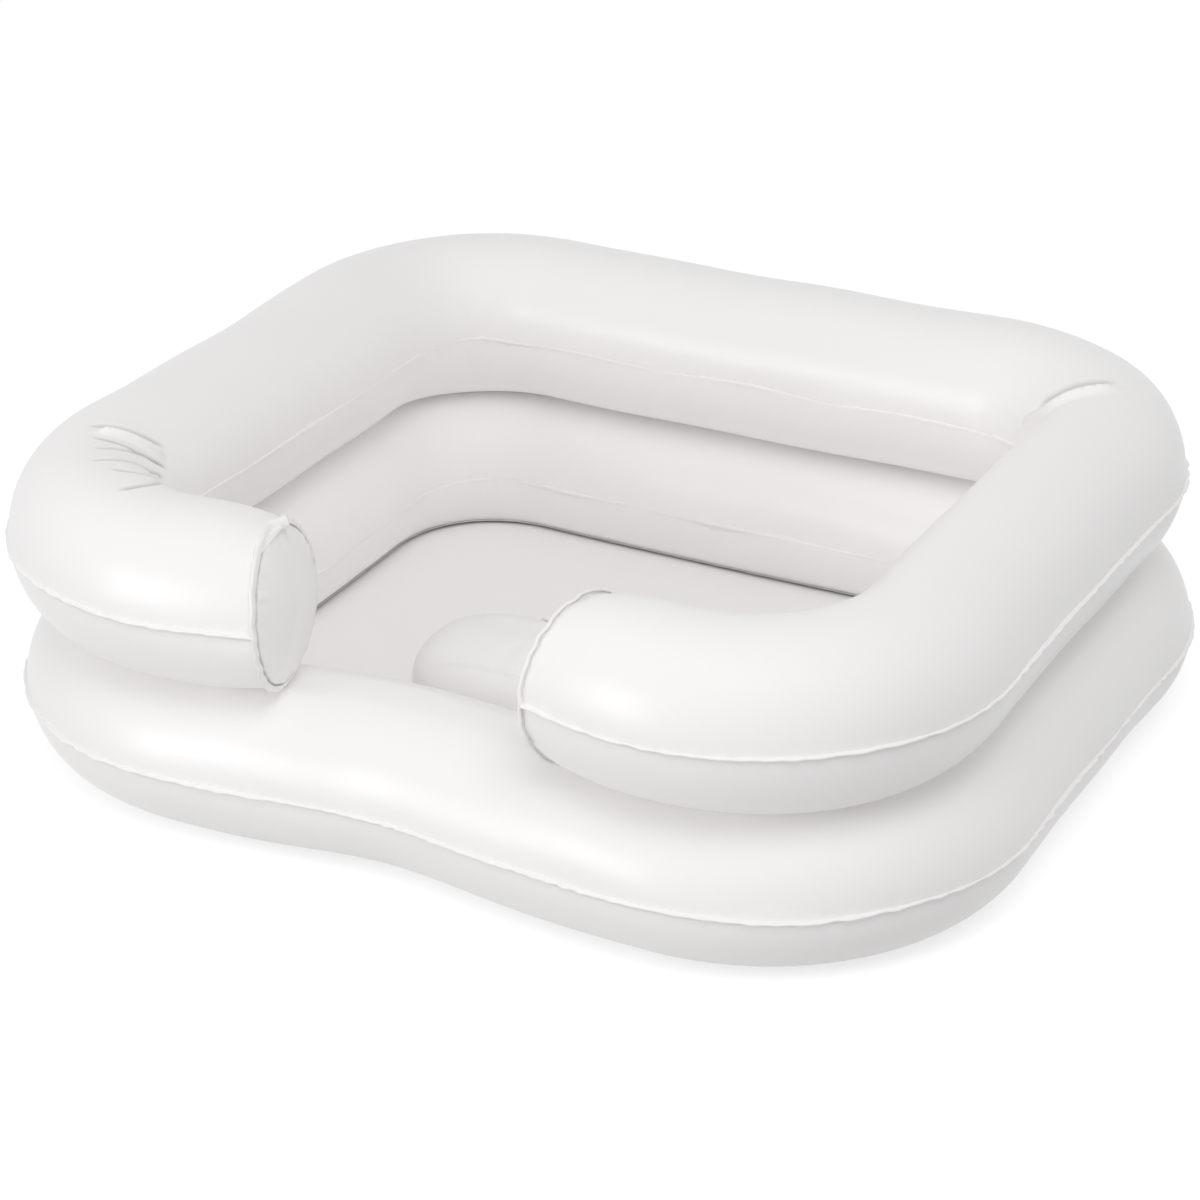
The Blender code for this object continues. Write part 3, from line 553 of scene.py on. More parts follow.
# %% Ends of the C
END_REACH = 0.060
END_TAPER = 0.115
LEFT_CURL = (0.048, -0.051, -0.069)
RIGHT_CURL = (0.088, -0.005, -0.071)
RUFFLE_REACH = 0.014
RUFFLE_WAVES = (7, 30, 0.00045)
TIP_PUSH = 0.0085
TIP_DEGREES = 97
TIP_SPREAD = 6.0


def end_shares(ring, s):
    """(1 - distance to the end / reach) squared, for the right and for the left end."""
    if ring is lower:
        return np.zeros_like(s), np.zeros_like(s)
    right = np.clip(1 - (s - ring.first) / END_REACH, 0, 1) ** 2
    left = np.clip(1 - (ring.last - s) / END_REACH, 0, 1) ** 2
    return right, left


def curl(ring, outward, up, shares):
    """Half width x (side x outward + rise x up + curve x up squared), where outward and up are
    shares of the tube's own half width and half height."""
    side, rise, curve = shares
    return ring.wide * (side * outward + rise * up + curve * up ** 2)


def waves(s, length, fewest, most, height, seed):
    """Random smooth waves on a closed line: cosines with whole numbers of periods from fewest to
    most, whose sum has the given typical height."""
    dice = np.random.default_rng(seed)
    counts = np.arange(fewest, most + 1)
    sizes = dice.normal(size=len(counts)) / math.sqrt(len(counts) / 2)
    phases = dice.uniform(0, 2 * math.pi, len(counts))
    angle = 2 * math.pi * np.asarray(s)[..., None] * counts / length + phases
    return height * (np.cos(angle) * sizes).sum(-1)


def ruffle(theta, left):
    """Push along the tube of an end weld at the angle theta round it: random waves, and on the
    left end one long tip at the top, where the film was gathered before welding."""
    push = waves(theta, 2 * math.pi, *RUFFLE_WAVES, 71 if left else 72)
    if left:
        away = (np.degrees(theta) - TIP_DEGREES) / TIP_SPREAD
        push = push + TIP_PUSH * np.exp(-away ** 2)
    return push


def end_push(ring, s, w, h, size):
    """Slide along the tube near the C's ends: the curl of each end and its ruffle."""
    right, left = (share[:, None] for share in end_shares(ring, s))
    outward, up = w / (size * ring.wide), h / (size * ring.high)
    theta = np.arctan2(up, outward)
    near_right = np.clip(1 - (s - ring.first) / RUFFLE_REACH, 0, 1)[:, None] ** 2
    near_left = np.clip(1 - (ring.last - s) / RUFFLE_REACH, 0, 1)[:, None] ** 2
    slide = left * curl(ring, outward, up, LEFT_CURL) + near_left * ruffle(theta, True)
    return slide - right * curl(ring, outward, up, RIGHT_CURL) - near_right * ruffle(theta, False)


print("each end narrows by", round(1000 * END_TAPER * upper.wide, 1), "mm over",
      1000 * END_REACH, "mm")

# %% [markdown]
# ## What air does to flat film
# A ring is cut from flat film, so it can't be a perfect tube. Its surface swells and sinks a
# little, short pleats start at the seams where they turn a corner, and the film that is too much
# on the inside of a corner gathers in long creases. Each effect is a height over the smooth
# tube, worked out for the whole grid at once.

# %% Swells and pleats
SWELL_TERMS, SWELL_MOST, SWELL_ROUND = 26, 18, 4
STRAIGHT_SHARE, CORNER_REACH = 0.25, 0.10
PLEAT_JITTER, PLEAT_DEPTHS, PLEAT_DEPTH_POWER = 0.35, (0.25, 1.0), 1.5
PLEAT_WIDTHS, PLEAT_REACHES = (0.7, 1.4), (0.5, 1.5)
PLEAT_BANK, PLEAT_BANK_PLACE, PLEAT_FADE = 0.45, 1.9, 1.3
END_PLEATS = (24, 60, 0.00042)
END_PLEAT_REACH, END_PLEAT_FADE = 0.011, 1.4


def swell(s, phi, length, height, seed):
    """Slow random unevenness over a tube: cosines of along-ring and round-tube angles."""
    dice = np.random.default_rng(seed)
    total = np.zeros((len(s), len(phi)))
    for _ in range(SWELL_TERMS):
        along = dice.integers(2, SWELL_MOST)
        around = dice.integers(0, SWELL_ROUND)
        phase = dice.uniform(0, 2 * math.pi)
        total += np.cos((2 * math.pi * along / length * s + phase)[:, None] + around * phi[None])
    return height * total / math.sqrt(SWELL_TERMS / 2)


def corner_weight(ring, s):
    """One on the corners of a ring, falling to a small share on its straight runs."""
    middles = (ring.edges[[1, 3, 5, 7]] + ring.edges[[2, 4, 6, 8]]) / 2
    away = np.abs((np.asarray(s)[..., None] - middles + ring.length / 2) % ring.length
                  - ring.length / 2)
    return STRAIGHT_SHARE + (1 - STRAIGHT_SHARE) * np.exp(-(away / CORNER_REACH) ** 4).sum(-1)


def pleats(ring, s, arc, count, depth, width, reach, seed):
    """Short pleats that start at a seam: narrow grooves of random depth, width and reach, deeper
    on the corners, that fade with the distance arc from the seam."""
    dice = np.random.default_rng(seed)
    jitter = dice.uniform(-PLEAT_JITTER, PLEAT_JITTER, count)
    centres = (np.arange(count) + jitter) * ring.length / count
    depths = depth * dice.uniform(*PLEAT_DEPTHS, count) ** PLEAT_DEPTH_POWER
    depths = depths * corner_weight(ring, centres)
    widths = width * dice.uniform(*PLEAT_WIDTHS, count)
    reaches = reach * dice.uniform(*PLEAT_REACHES, count)
    away = (s[:, None] - centres[None] + ring.length / 2) % ring.length - ring.length / 2
    banks = np.exp(-((np.abs(away) - PLEAT_BANK_PLACE * widths) / widths) ** 2)
    groove = np.exp(-(away / widths) ** 2) - PLEAT_BANK * banks
    fade = np.exp(-(arc[None] / reaches[:, None]) ** PLEAT_FADE)
    return -(groove * depths) @ fade


def end_pleats(ring, s, phi, seed):
    """Fine gathers along the tube at the C's ends, which fade over a few millimetres."""
    away = np.minimum(s - ring.first, ring.last - s)
    fade = np.exp(-(np.maximum(away, 0) / END_PLEAT_REACH) ** END_PLEAT_FADE)
    return -fade[:, None] * np.abs(waves(phi, 2 * math.pi, *END_PLEATS, seed))[None]


print("pleats are", round(corner_weight(upper, upper.edges[1:3].mean())
                          / corner_weight(upper, 0.0), 1), "times as deep on the corners")

# %% [markdown]
# A crease is a path over the tube with a ridge or a groove along it. Its height depends only on
# the distance from the path, so one function makes a sharp fold with soft banks, fading at both
# of its ends.

# %% Creases and hollows
PATH_STEPS, PATH_ROUNDS = 44, 8
CREASE_FADE, CREASE_MARGIN, CREASE_TIP = 0.16, 0.025, 0.35
BANK_PLACE, BANK_WIDTH = 2.6, 1.1


def smooth_path(points):
    """The points joined up, cut into equal steps and rounded by averaging neighbours."""
    points = np.array(points, dtype=float)
    chord = np.concatenate([[0], np.cumsum(np.hypot(*np.diff(points, axis=0).T))])
    t = np.linspace(0, chord[-1], PATH_STEPS)
    line = np.stack([np.interp(t, chord, points[:, k]) for k in (0, 1)], -1)
    for _ in range(PATH_ROUNDS):
        line[1:-1] = (line[:-2] + 2 * line[1:-1] + line[2:]) / 4
    return line


def crease(ring, s, phi, path, height, width, bank):
    """One crease along a path of (s, degrees): height x exp(-(root(d^2 + e^2) - e) / width), d
    being the distance from the path, less low banks on both sides. A groove has a negative
    height. It fades over a share of its length at each end."""
    radius = (ring.wide + ring.high) / 2
    line = smooth_path([(a, math.radians(b) * radius) for a, b in path])
    total = np.zeros((len(s), len(phi)))
    rows = np.where((s > line[:, 0].min() - CREASE_MARGIN)
                    & (s < line[:, 0].max() + CREASE_MARGIN))[0]
    if not len(rows):
        return total
    gx, gy = np.meshgrid(s[rows], phi * radius, indexing="ij")
    nearest = np.full(gx.shape, 1e9)
    along = np.zeros(gx.shape)
    steps = np.hypot(*np.diff(line, axis=0).T)
    for k, step in enumerate(steps):
        ux, uy = (line[k + 1] - line[k]) / step
        t = np.clip((gx - line[k, 0]) * ux + (gy - line[k, 1]) * uy, 0, step)
        distance = np.hypot(gx - line[k, 0] - t * ux, gy - line[k, 1] - t * uy)
        along = np.where(distance < nearest, (steps[:k].sum() + t) / steps.sum(), along)
        nearest = np.minimum(nearest, distance)
    rise = np.clip(np.minimum(along, 1 - along) / CREASE_FADE, 0, 1)
    fade = eased(rise)
    soft = CREASE_TIP * width
    core = np.exp(-(np.hypot(nearest, soft) - soft) / width)
    banks = np.exp(-((nearest - BANK_PLACE * width) / (BANK_WIDTH * width)) ** 2)
    total[rows] = height * fade * (core - bank * banks)
    return total


def dent(ring, s, phi, place, size, depth):
    """Broad round hollow of the given size and depth at (s, degrees)."""
    across = (phi - math.radians(place[1])) * (ring.wide + ring.high) / 2
    return -depth * np.exp(-((s - place[0])[:, None] ** 2 + across[None] ** 2) / size ** 2)


trial = crease(upper, np.array([1.0, 1.005]), np.radians([90.0]), [(0.97, 90), (1.03, 90)],
               0.002, 0.0015, 0.2)
print("a 2 mm ridge along the tube is", np.round(1000 * trial.ravel(), 2), "mm high")

# %% [markdown]
# The creases below were read off the photograph: a fan over the front left corner, and one long
# fold over the back right corner. They run from the inner seam up over the tube. A bright ridge
# leads each group, with grooves beside it.

# %% Creases of the upper ring
FRONT_LEFT_FAN = (
    ([(1.6871, 83), (1.6839, 90), (1.6808, 98), (1.6776, 107), (1.6750, 115), (1.6710, 123),
      (1.6667, 131), (1.6597, 139)], -0.0015, 0.0015),
    ([(1.6940, 91), (1.6915, 101), (1.6890, 110), (1.6860, 119), (1.6825, 128), (1.6780, 136),
      (1.6720, 145)], 0.0046, 0.0022),
    ([(1.7018, 90), (1.7030, 99), (1.7035, 107), (1.7018, 116), (1.6990, 125), (1.6934, 134),
      (1.6860, 142), (1.6766, 150)], -0.0026, 0.0014),
    ([(1.7208, 92), (1.7190, 101), (1.7134, 111), (1.7060, 120), (1.6997, 129)], -0.0012, 0.0013),
    ([(1.7429, 86), (1.7440, 95), (1.7440, 103), (1.7410, 113), (1.7330, 124), (1.7240, 133),
      (1.7103, 142), (1.6903, 152)], -0.0026, 0.0014),
    ([(1.7600, 95), (1.7680, 101), (1.7715, 108), (1.7710, 117), (1.7640, 128), (1.7510, 139),
      (1.7300, 150)], -0.0024, 0.0017),
    ([(1.7940, 80), (1.7967, 88), (1.7998, 96), (1.8010, 104), (1.7960, 114), (1.7860, 125),
      (1.7680, 138)], -0.0020, 0.0017),
)
BACK_RIGHT_FOLD = (
    ([(0.7355, 162), (0.7008, 148), (0.6770, 134), (0.6713, 122), (0.6713, 113), (0.6734, 104),
      (0.6757, 95), (0.6790, 86), (0.6835, 77)], 0.0046, 0.0030),
    ([(0.7218, 144), (0.7102, 135), (0.7039, 126), (0.6997, 118), (0.6955, 110), (0.6925, 101),
      (0.6905, 92), (0.6905, 83)], -0.0014, 0.0034),
)
CREASE_GROUPS = ((0.20, FRONT_LEFT_FAN), (0.12, BACK_RIGHT_FOLD))
print("creases:", len(FRONT_LEFT_FAN + BACK_RIGHT_FOLD))

# %% [markdown]
# Each film has a relief of its own. It gives the height over the smooth tube, and how much
# painted shade the film's grooves get there, from nothing to one.

# %% Relief of each film
SWELLS = {"upper_top": (0.00042, 11), "upper_bottom": (0.00040, 21),
          "lower_top": (0.00050, 31), "lower_bottom": (0.00040, 41)}
DENTS = (((1.715, 150), 0.030, 0.0035), ((0.700, 150), 0.035, 0.0020))
# Groove depth from which a crease's painted shade is full.
PAINTED_SHADE_DEPTH = 0.0026
FLOOR_BAND_DEGREES, FLOOR_BAND_HALF, FLOOR_BAND_FLAT = 124, 22, 0.6


def upper_top_relief(ring, s, phi):
    """Swells, the fan, the crease over the back right corner and the hollow behind each. The
    grooves get painted shade, fully from a set depth on."""
    height = swell(s, phi, ring.length, *SWELLS["upper_top"])
    fold = np.zeros(height.shape)
    for bank, group in CREASE_GROUPS:
        for path, size, width in group:
            rise = crease(ring, s, phi, path, size, width, bank)
            height += rise
            if size < 0:
                # Painted shade in each groove, standing in for the shade that falls in it.
                fold = np.maximum(fold, np.clip(-rise / PAINTED_SHADE_DEPTH, 0, 1))
    for hollow in DENTS:
        height += dent(ring, s, phi, *hollow)
    return height + end_pleats(ring, s, phi, 61), fold


def upper_bottom_relief(ring, s, phi):
    """Swells, and the gathers of the ends."""
    return swell(s, phi, ring.length, *SWELLS["upper_bottom"]) + end_pleats(ring, s, phi, 62), 0.0


def lower_top_relief(ring, s, phi):
    """Swells only."""
    return swell(s, phi, ring.length, *SWELLS["lower_top"]), 0.0


def lower_bottom_relief(ring, s, phi):
    """Swells that leave the band where the floor is welded on smooth."""
    away = np.abs(np.degrees(phi) - FLOOR_BAND_DEGREES) / FLOOR_BAND_HALF
    calmed = np.clip(away - FLOOR_BAND_FLAT, 0, 1)[None]
    return swell(s, phi, ring.length, *SWELLS["lower_bottom"]) * calmed, 0.0


heights = upper_top_relief(upper, np.linspace(1.64, 1.82, 40), np.radians(np.arange(85, 150, 2)))[0]
print("the fan stands from", round(1000 * heights.min(), 1), "to",
      round(1000 * heights.max(), 1), "mm over the tube")

# %% [markdown]
# ## One film of a ring
# The section of a film is half an ellipse between two flat weld flanges. Where the tube rests on
# something it is pressed flat. The outer skin follows the section with all of its relief, the
# inner skin lies a little further in, and the two meet at the edges of the flanges, so the film
# is a closed sheet. The two films of a tube share the waviness of their seam, so that their
# flanges stay face to face.

# %% Section of a film
OUTER_WELD, OUTER_RAGGED = 0.0023, (50, 220, 0.00036)
INNER_WELD, INNER_RAGGED = 0.0005, (30, 150, 0.00006)
SEAM_SLOW, SEAM_QUICK = (6, 26, 0.00045), (70, 170, 0.00014)
SEAM_RISE_REACH = 0.014
WELD_DROOP = 0.0004
PRESS_SOFT = 0.0004
SEAM_SHARES = np.array([0.15, 0.60, 0.86, 0.96, 1.0])
BEAD_SHARES = np.array([0.20, 0.46, 0.52, 0.96, 1.0])
BEAD_TOP = np.array([1.0, 1.0, 0.94, 0.70, 0.30])
BEAD_UNDER = np.array([0.23, 0.23, -1.0, -0.70, -0.30])
STUB_SHARE = 0.36
VALVE_CALM = 0.026


def soft_cap(value, cap, softness):
    """The smaller of value and cap, with the corner between them rounded."""
    return -softness * np.logaddexp(-value / softness, -cap / softness)


def seam_shape(ring, s, seed):
    """Rise and width of a ring's outer and inner weld flanges along it."""
    weight = corner_weight(ring, s)
    small = waves(s, ring.length, *SEAM_QUICK, seed + 1) * weight
    outer_rise = waves(s, ring.length, *SEAM_SLOW, seed) + small
    inner_rise = waves(s, ring.length, *SEAM_SLOW, seed + 2) + small
    outer_wide = OUTER_WELD + waves(s, ring.length, *OUTER_RAGGED, seed + 4)
    inner_wide = INNER_WELD + waves(s, ring.length, *INNER_RAGGED, seed + 5)
    return outer_rise, inner_rise, outer_wide, inner_wide


def calm(ring, s, phi, valve):
    """How much relief is left at each point: none round a valve, all of it elsewhere."""
    if valve is None:
        return 1.0
    across = (phi - math.radians(valve[1])) * (ring.wide + ring.high) / 2
    away = np.hypot((s - valve[0])[:, None], across[None]) / VALVE_CALM
    return eased(np.clip(2 * away - 1, 0, 1))


def skin_section(ring, sign, phi, lift, inset, flat, seam, level, size):
    """(outward, up) of one skin: the ellipse moved out by lift and in by inset, capped where it
    is pressed, with a flange at the level of its face on both sides. The top film's outer flange
    is the whole weld, whose rounded bead wraps over the bottom film's flange, and that one is a
    stub that ends inside it."""
    outer_rise, inner_rise, outer_wide, inner_wide = seam
    wide, high = size[:, None] * ring.wide, size[:, None] * ring.high
    c, d = np.cos(phi)[None], np.sin(phi)[None]
    tilt_w, tilt_h = c / wide, d / high
    scale = np.hypot(tilt_w, tilt_h)
    w = wide * c + (lift - inset) * tilt_w / scale
    h = high * d + (lift - inset) * tilt_h / scale
    if flat:
        h = soft_cap(h, ring.high * FLAT_SHARE - inset, PRESS_SOFT)
    near_out, near_in = (np.exp(-(arc * ring.high / SEAM_RISE_REACH) ** 2)[None]
                         for arc in (phi, math.pi - phi))
    h = sign * h + outer_rise[:, None] * near_out + inner_rise[:, None] * near_in
    flanges = []
    half_weld = SEAM_GAP / 2 + FILM
    for side, rise, reach in ((1, outer_rise, outer_wide), (-1, inner_rise, inner_wide)):
        shares, heights = SEAM_SHARES, np.full(len(SEAM_SHARES), sign * level)
        if side > 0 and sign > 0:
            outside = level > SEAM_GAP
            shares = SEAM_SHARES if outside else BEAD_SHARES
            heights = (BEAD_TOP if outside else BEAD_UNDER) * half_weld
        elif side > 0:
            shares = STUB_SHARE * SEAM_SHARES
        flange_w = side * (wide + reach[:, None] * shares)
        droop = WELD_DROOP * (1 if side > 0 else 2) * shares ** 2
        flanges.append((flange_w, heights + rise[:, None] - droop))
    (out_w, out_h), (in_w, in_h) = flanges
    return (np.concatenate([out_w[:, ::-1], w, in_w], 1),
            np.concatenate([out_h[:, ::-1], h, in_h], 1))


print("the outer weld is", 1000 * OUTER_WELD, "mm wide and", 1000 * (SEAM_GAP + 2 * FILM),
      "mm thick")

# %% [markdown]
# The builder sets the places along the ring and round the tube, makes the outer and the inner
# skin with the same function, and closes the ends. Pleats along both seams are part of it: how
# many, how deep, how wide and how far they reach.

# %% Film builder
SEAM_PLEATS = (("outer", 190, 0.00040, 0.0020, 0.009, 11),
               ("inner", 100, 0.00030, 0.0026, 0.012, 12))
# Painted shade: a dark line on a bottom film just under the weld bead, standing in for the bead's
# shadow; how dark, and how far it reaches.
SEAM_PAINTED_SHADE, SEAM_PAINTED_SHADE_REACH = 0.7, 0.0011
INNER_CLEAR, CREASE_CLEAR, CLEAR_FADE = 0.0012, 0.0060, 0.01
OUTER_SEAM_STEP, INNER_SEAM_STEP = 0.0007, 0.0009
INNER_COLUMNS = 14
END_WELD = 0.0016
END_EASE = np.array([0.0008, 0.0018, 0.0032, 0.0050, 0.0075])
END_FIRST = 0.010


def make_film(name, ring, sign, flat, relief, seed, step, zones, arc_step, arc_zones,
              crease_rows=(), valve=None):
    """Outer skin, inner skin and both flanges of one film, as one closed sheet."""
    closed = ring is lower
    level = SEAM_GAP / 2
    low = math.asin((FILM + level) / ring.high / (1 if closed else 1 - END_TAPER))
    radius = (ring.wide + ring.high) / 2
    seam_zones = [(low, low, OUTER_SEAM_STEP / radius),
                  (math.pi - low, math.pi - low, INNER_SEAM_STEP / radius)]
    phi = spread(low, math.pi - low, arc_step / radius, seam_zones
                 + [(math.radians(a), math.radians(b), c / radius) for a, b, c in arc_zones])
    inner_phi = np.linspace(low, math.pi - low, INNER_COLUMNS)
    if closed:
        s = spread(0, ring.length, step, zones)[:-1]
        outer_s = inner_s = s
        flare = np.zeros(len(s))
    else:
        s = spread(ring.first + END_FIRST, ring.last - END_FIRST, step, zones)
        body = np.concatenate([ring.first + END_EASE, s, ring.last - END_EASE[::-1]])
        outer_s = np.concatenate([[ring.first + FILM] * 2, body, [ring.last - FILM] * 2])
        inner_s = np.concatenate([[ring.first] * 2, body, [ring.last] * 2])
        flare = np.zeros(len(outer_s))
        flare[[0, -1]] = END_WELD

    def skin(s, phi, outer):
        size = 1 - END_TAPER * sum(end_shares(ring, s))
        seam = seam_shape(ring, s, seed)
        fold = np.zeros((len(s), len(phi)))
        if outer:
            lift, crease_shade_and_clearance = relief(ring, s, phi)
            lift = lift * calm(ring, s, phi, valve)
            # Painted shade: the creases' own, and on a bottom film a dark line just under the weld
            # bead.
            painted_seam_shade = SEAM_PAINTED_SHADE * np.exp(-((phi - low) * ring.high / SEAM_PAINTED_SHADE_REACH) ** 2)
            fold = np.maximum(fold + crease_shade_and_clearance, painted_seam_shade[None] if sign < 0 else 0.0)
            for arc, count, depth, width, reach, extra in SEAM_PLEATS:
                near = (phi if arc == "outer" else math.pi - phi) * ring.high
                lift = lift + pleats(ring, s, near, count, depth, width, reach, seed + extra)
            inset, face = 0.0, level + FILM
        else:
            middle = np.sin(phi)[None] ** 0.5
            # On the inner skin this is no shade, only the share of extra clearance near the
            # creases.
            crease_shade_and_clearance = np.zeros(len(s))
            for begin, end in crease_rows:
                away = np.maximum(begin - s, s - end)
                crease_shade_and_clearance = np.maximum(crease_shade_and_clearance, np.clip(1 - away / CLEAR_FADE, 0, 1))
            deep = INNER_CLEAR + (CREASE_CLEAR - INNER_CLEAR) * crease_shade_and_clearance[:, None]
            lift, inset, face = 0.0, FILM + (deep - FILM) * middle, level
        w, h = skin_section(ring, sign, phi, lift, inset, flat, seam, face, size)
        grow = 1 + flare[:, None] / ring.wide
        w, h = w * grow, h * grow
        place, tangent, normal = ring.frame(s)
        flat_points = place[:, None] + w[..., None] * normal[:, None]
        if not closed:
            flat_points += end_push(ring, s, w, h, size[:, None])[..., None] * tangent[:, None]
        fold = np.pad(fold, ((0, 0), (len(SEAM_SHARES),) * 2))
        return np.concatenate([flat_points, (ring.centre_z + h)[..., None]], -1), fold

    outside, outside_fold = skin(outer_s, phi, True)
    inside = skin(inner_s, inner_phi, False)[0][:, ::-1]
    points = np.concatenate([outside, inside], 1)
    rows, columns = points.shape[:2]
    faces = grid_faces(rows, columns, closed, True)
    along = np.concatenate([outer_s, [ring.length]]) if closed else outer_s
    chart = grid_chart(along, measured(points[rows // 2]))
    count = outside.shape[1]
    weld = np.zeros((rows, columns))
    tip = len(SEAM_SHARES)
    weld[:, :tip] = weld[:, count - tip:count] = 1
    if not closed:
        weld[[0, -1]] = 1
    # The painted shade is stored for the outer skin only.
    fold = np.zeros((rows, columns))
    fold[:, :count] = outside_fold
    faces = faces.tolist()
    if not closed:
        caps = end_caps(rows, columns, count)
        faces += caps
        chart = np.concatenate([chart, np.zeros((3 * len(caps), 2))])
    piece = add_piece(name + "_skin", points, faces, vinyls["ring"], "basin", "vinyl_film", chart,
                      weld=weld, fold=fold)
    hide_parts(name)
    print(piece.name, rows, "x", columns, "points")
    return piece


def end_caps(rows, columns, outer_count):
    """Triangles that close a film's section at both ends of the C: a ladder between the outer
    and the inner skin, whose steps are matched by their place along each."""
    caps = []
    inner_count = columns - outer_count
    for row, way in ((0, 1), (rows - 1, -1)):
        base = row * columns
        a, b = 0, 0
        while a < outer_count - 1 or b < inner_count - 1:
            ahead = (a + 1) / (outer_count - 1) <= (b + 1) / (inner_count - 1)
            here, there = base + a, base + columns - 1 - b
            if b == inner_count - 1 or (ahead and a < outer_count - 1):
                face = [here, base + a + 1, there]
                a += 1
            else:
                face = [here, base + columns - 2 - b, there]
                b += 1
            caps.append(face[::way])
    return caps


print("pleats along a ring:", sum(count for _, count, *_ in SEAM_PLEATS))

# %% [markdown]
# The four films of the two rings. The steps are in metres, and smaller where the creases are.
# Round a valve the film is kept smooth, so its flange lies flat.

# %% The rings' films
UPPER_VALVE = (0.8506, 25)
LOWER_VALVE = (1.1482, 25)
films = {}
films["upper"] = make_film("upper_ring_top_film", upper, 1, False, upper_top_relief, 100, 0.0032,
                           [(1.635, 1.825, 0.0010), (0.655, 0.745, 0.0018)], 0.0032,
                           [(78, 158, 0.0014)], [(1.63, 1.83), (0.65, 0.75)], UPPER_VALVE)
make_film("upper_ring_bottom_film", upper, -1, True, upper_bottom_relief, 100, 0.0024, [],
          0.0032, [])
films["lower"] = make_film("lower_ring_top_film", lower, 1, True, lower_top_relief, 200, 0.0024,
                           [], 0.0030, [], (), LOWER_VALVE)
make_film("lower_ring_bottom_film", lower, -1, True, lower_bottom_relief, 200, 0.0024, [],
          0.0032, [])

# %% [markdown]
# ## End panels
# Each arm of the C is closed by an oval of film, welded all round. Air pushes it out into a low
# dome, and the gathers of its weld run a short way in. It is made as rings of points from the
# rim to the middle, on both faces, so it is a closed sheet too.

# %% End panels
PANEL_SECTORS = 120
PANEL_DOME = 0.008
PANEL_POWER = 0.8
PANEL_EDGE = (1.0, 0.992, 0.984, 0.976, 0.967, 0.958, 0.949, 0.94, 0.93, 0.91)
PANEL_INSIDE = np.linspace(0.88, 0.08, 18)
PANEL_GATHERS, PANEL_SLACK = (14, 40, 0.00070), (2, 5, 0.0010)
GATHER_REACH, GATHER_RIM, GATHER_FADE = 0.16, 0.97, 0.05
SLACK_MIDDLE, EDGE_REACH = 0.4, 0.07
GROOVE = (0.966, 0.012, 0.0016)
# Painted shade in the groove round the panel's rim.
GROOVE_PAINTED_SHADE = 0.8
SKIRT = ((0.0007, -0.0019), (0.0014, -0.0012), (0.0014, -0.0002), (0.0006, 0.0006))
SKIRT_INSIDE = ((0.0003, 0.0003), (0.0003, -0.0019))
TIP_FLARE = 0.0016


def make_panel(side):
    """Dome x (1 - share squared) to a power over the end's oval, with gathers near the rim."""
    left = side == "left"
    s = np.array([upper.last if left else upper.first])
    place, tangent, normal = (v[0] for v in upper.frame(s))
    way = 1 if left else -1
    size = 1 - END_TAPER
    wide, high = size * upper.wide, size * upper.high
    theta = circle(PANEL_SECTORS)
    rim = 1 + END_WELD / wide
    shares = np.concatenate([[rim], PANEL_EDGE, PANEL_INSIDE])
    seed = 81 if left else 82
    gathers = waves(theta, 2 * math.pi, *PANEL_GATHERS, seed)
    soft = waves(theta, 2 * math.pi, *PANEL_SLACK, seed + 2)
    tip = np.exp(-((np.degrees(theta) - TIP_DEGREES) / TIP_SPREAD) ** 2) * (1 if left else 0)
    layers = []
    for thick, hem in ((FILM, SKIRT), (0.0, SKIRT_INSIDE)):
        hem_shares = rim + np.array([out for out, _ in hem]) / wide
        hem_slides = np.array([slide for _, slide in hem])
        if not thick:
            hem_shares, hem_slides = hem_shares[::-1], hem_slides[::-1]
        all_shares = np.concatenate([hem_shares, shares])
        dome = PANEL_DOME * np.maximum(0, 1 - all_shares ** 2) ** PANEL_POWER
        hollow = np.exp(-((all_shares - GROOVE[0]) / GROOVE[1]) ** 2)
        groove = GROOVE[2] * hollow
        if thick:
            # The outer face's groove gets painted shade.
            outer_fold = GROOVE_PAINTED_SHADE * hollow
        away = np.concatenate([hem_slides, np.full(len(shares), SEAM_GAP + thick)]) + dome - groove
        gather_share = (np.exp(-((1 - all_shares) / GATHER_REACH) ** 2)
                        * np.clip((GATHER_RIM - all_shares) / GATHER_FADE, 0, 1))
        soft_share = (np.clip(1 - all_shares ** 2, 0, 1)
                      * np.clip(all_shares / SLACK_MIDDLE, 0, 1))
        edge = np.clip(1 - (1 - all_shares) / EDGE_REACH, 0, 1)[:, None] ** 2
        edge = edge * ruffle(theta, left)[None]
        spread_out = all_shares[:, None] + np.maximum(0, all_shares - 1)[:, None] * (
            TIP_FLARE / (rim - 1) * tip / wide)
        outward, up = spread_out * np.cos(theta), spread_out * np.sin(theta)
        lean = curl(upper, outward, up, LEFT_CURL if left else RIGHT_CURL)
        slide = (lean + away[:, None] + edge + gather_share[:, None] * gathers
                 + soft_share[:, None] * soft)
        flat = place + (wide * outward)[..., None] * normal + (way * slide)[..., None] * tangent
        layers.append(np.concatenate([flat, (upper.centre_z + high * up)[..., None]], -1))
    points = np.concatenate([layers[0], layers[1][::-1]])
    name = f"upper_ring_{side}_end_panel"
    piece = closed_cup(name + "_skin", points, len(layers[0]), vinyls["ring"], "vinyl_film", 2,
                       outer_fold)
    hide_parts(name)
    return piece


for side in ("left", "right"):
    panel = make_panel(side)
    print(panel.name, len(panel.data.polygons), "faces")

# %% [markdown]
# ## Headrest
# The headrest is a small boxy pillow of two films, inflated hard. Its plan is a rounded
# rectangle between an ellipse and a box, its top is nearly level and its shoulders turn down
# steeply to the weld. The pull of the weld gathers the shoulders in short pleats, and one fine
# fold runs along the front shoulder.

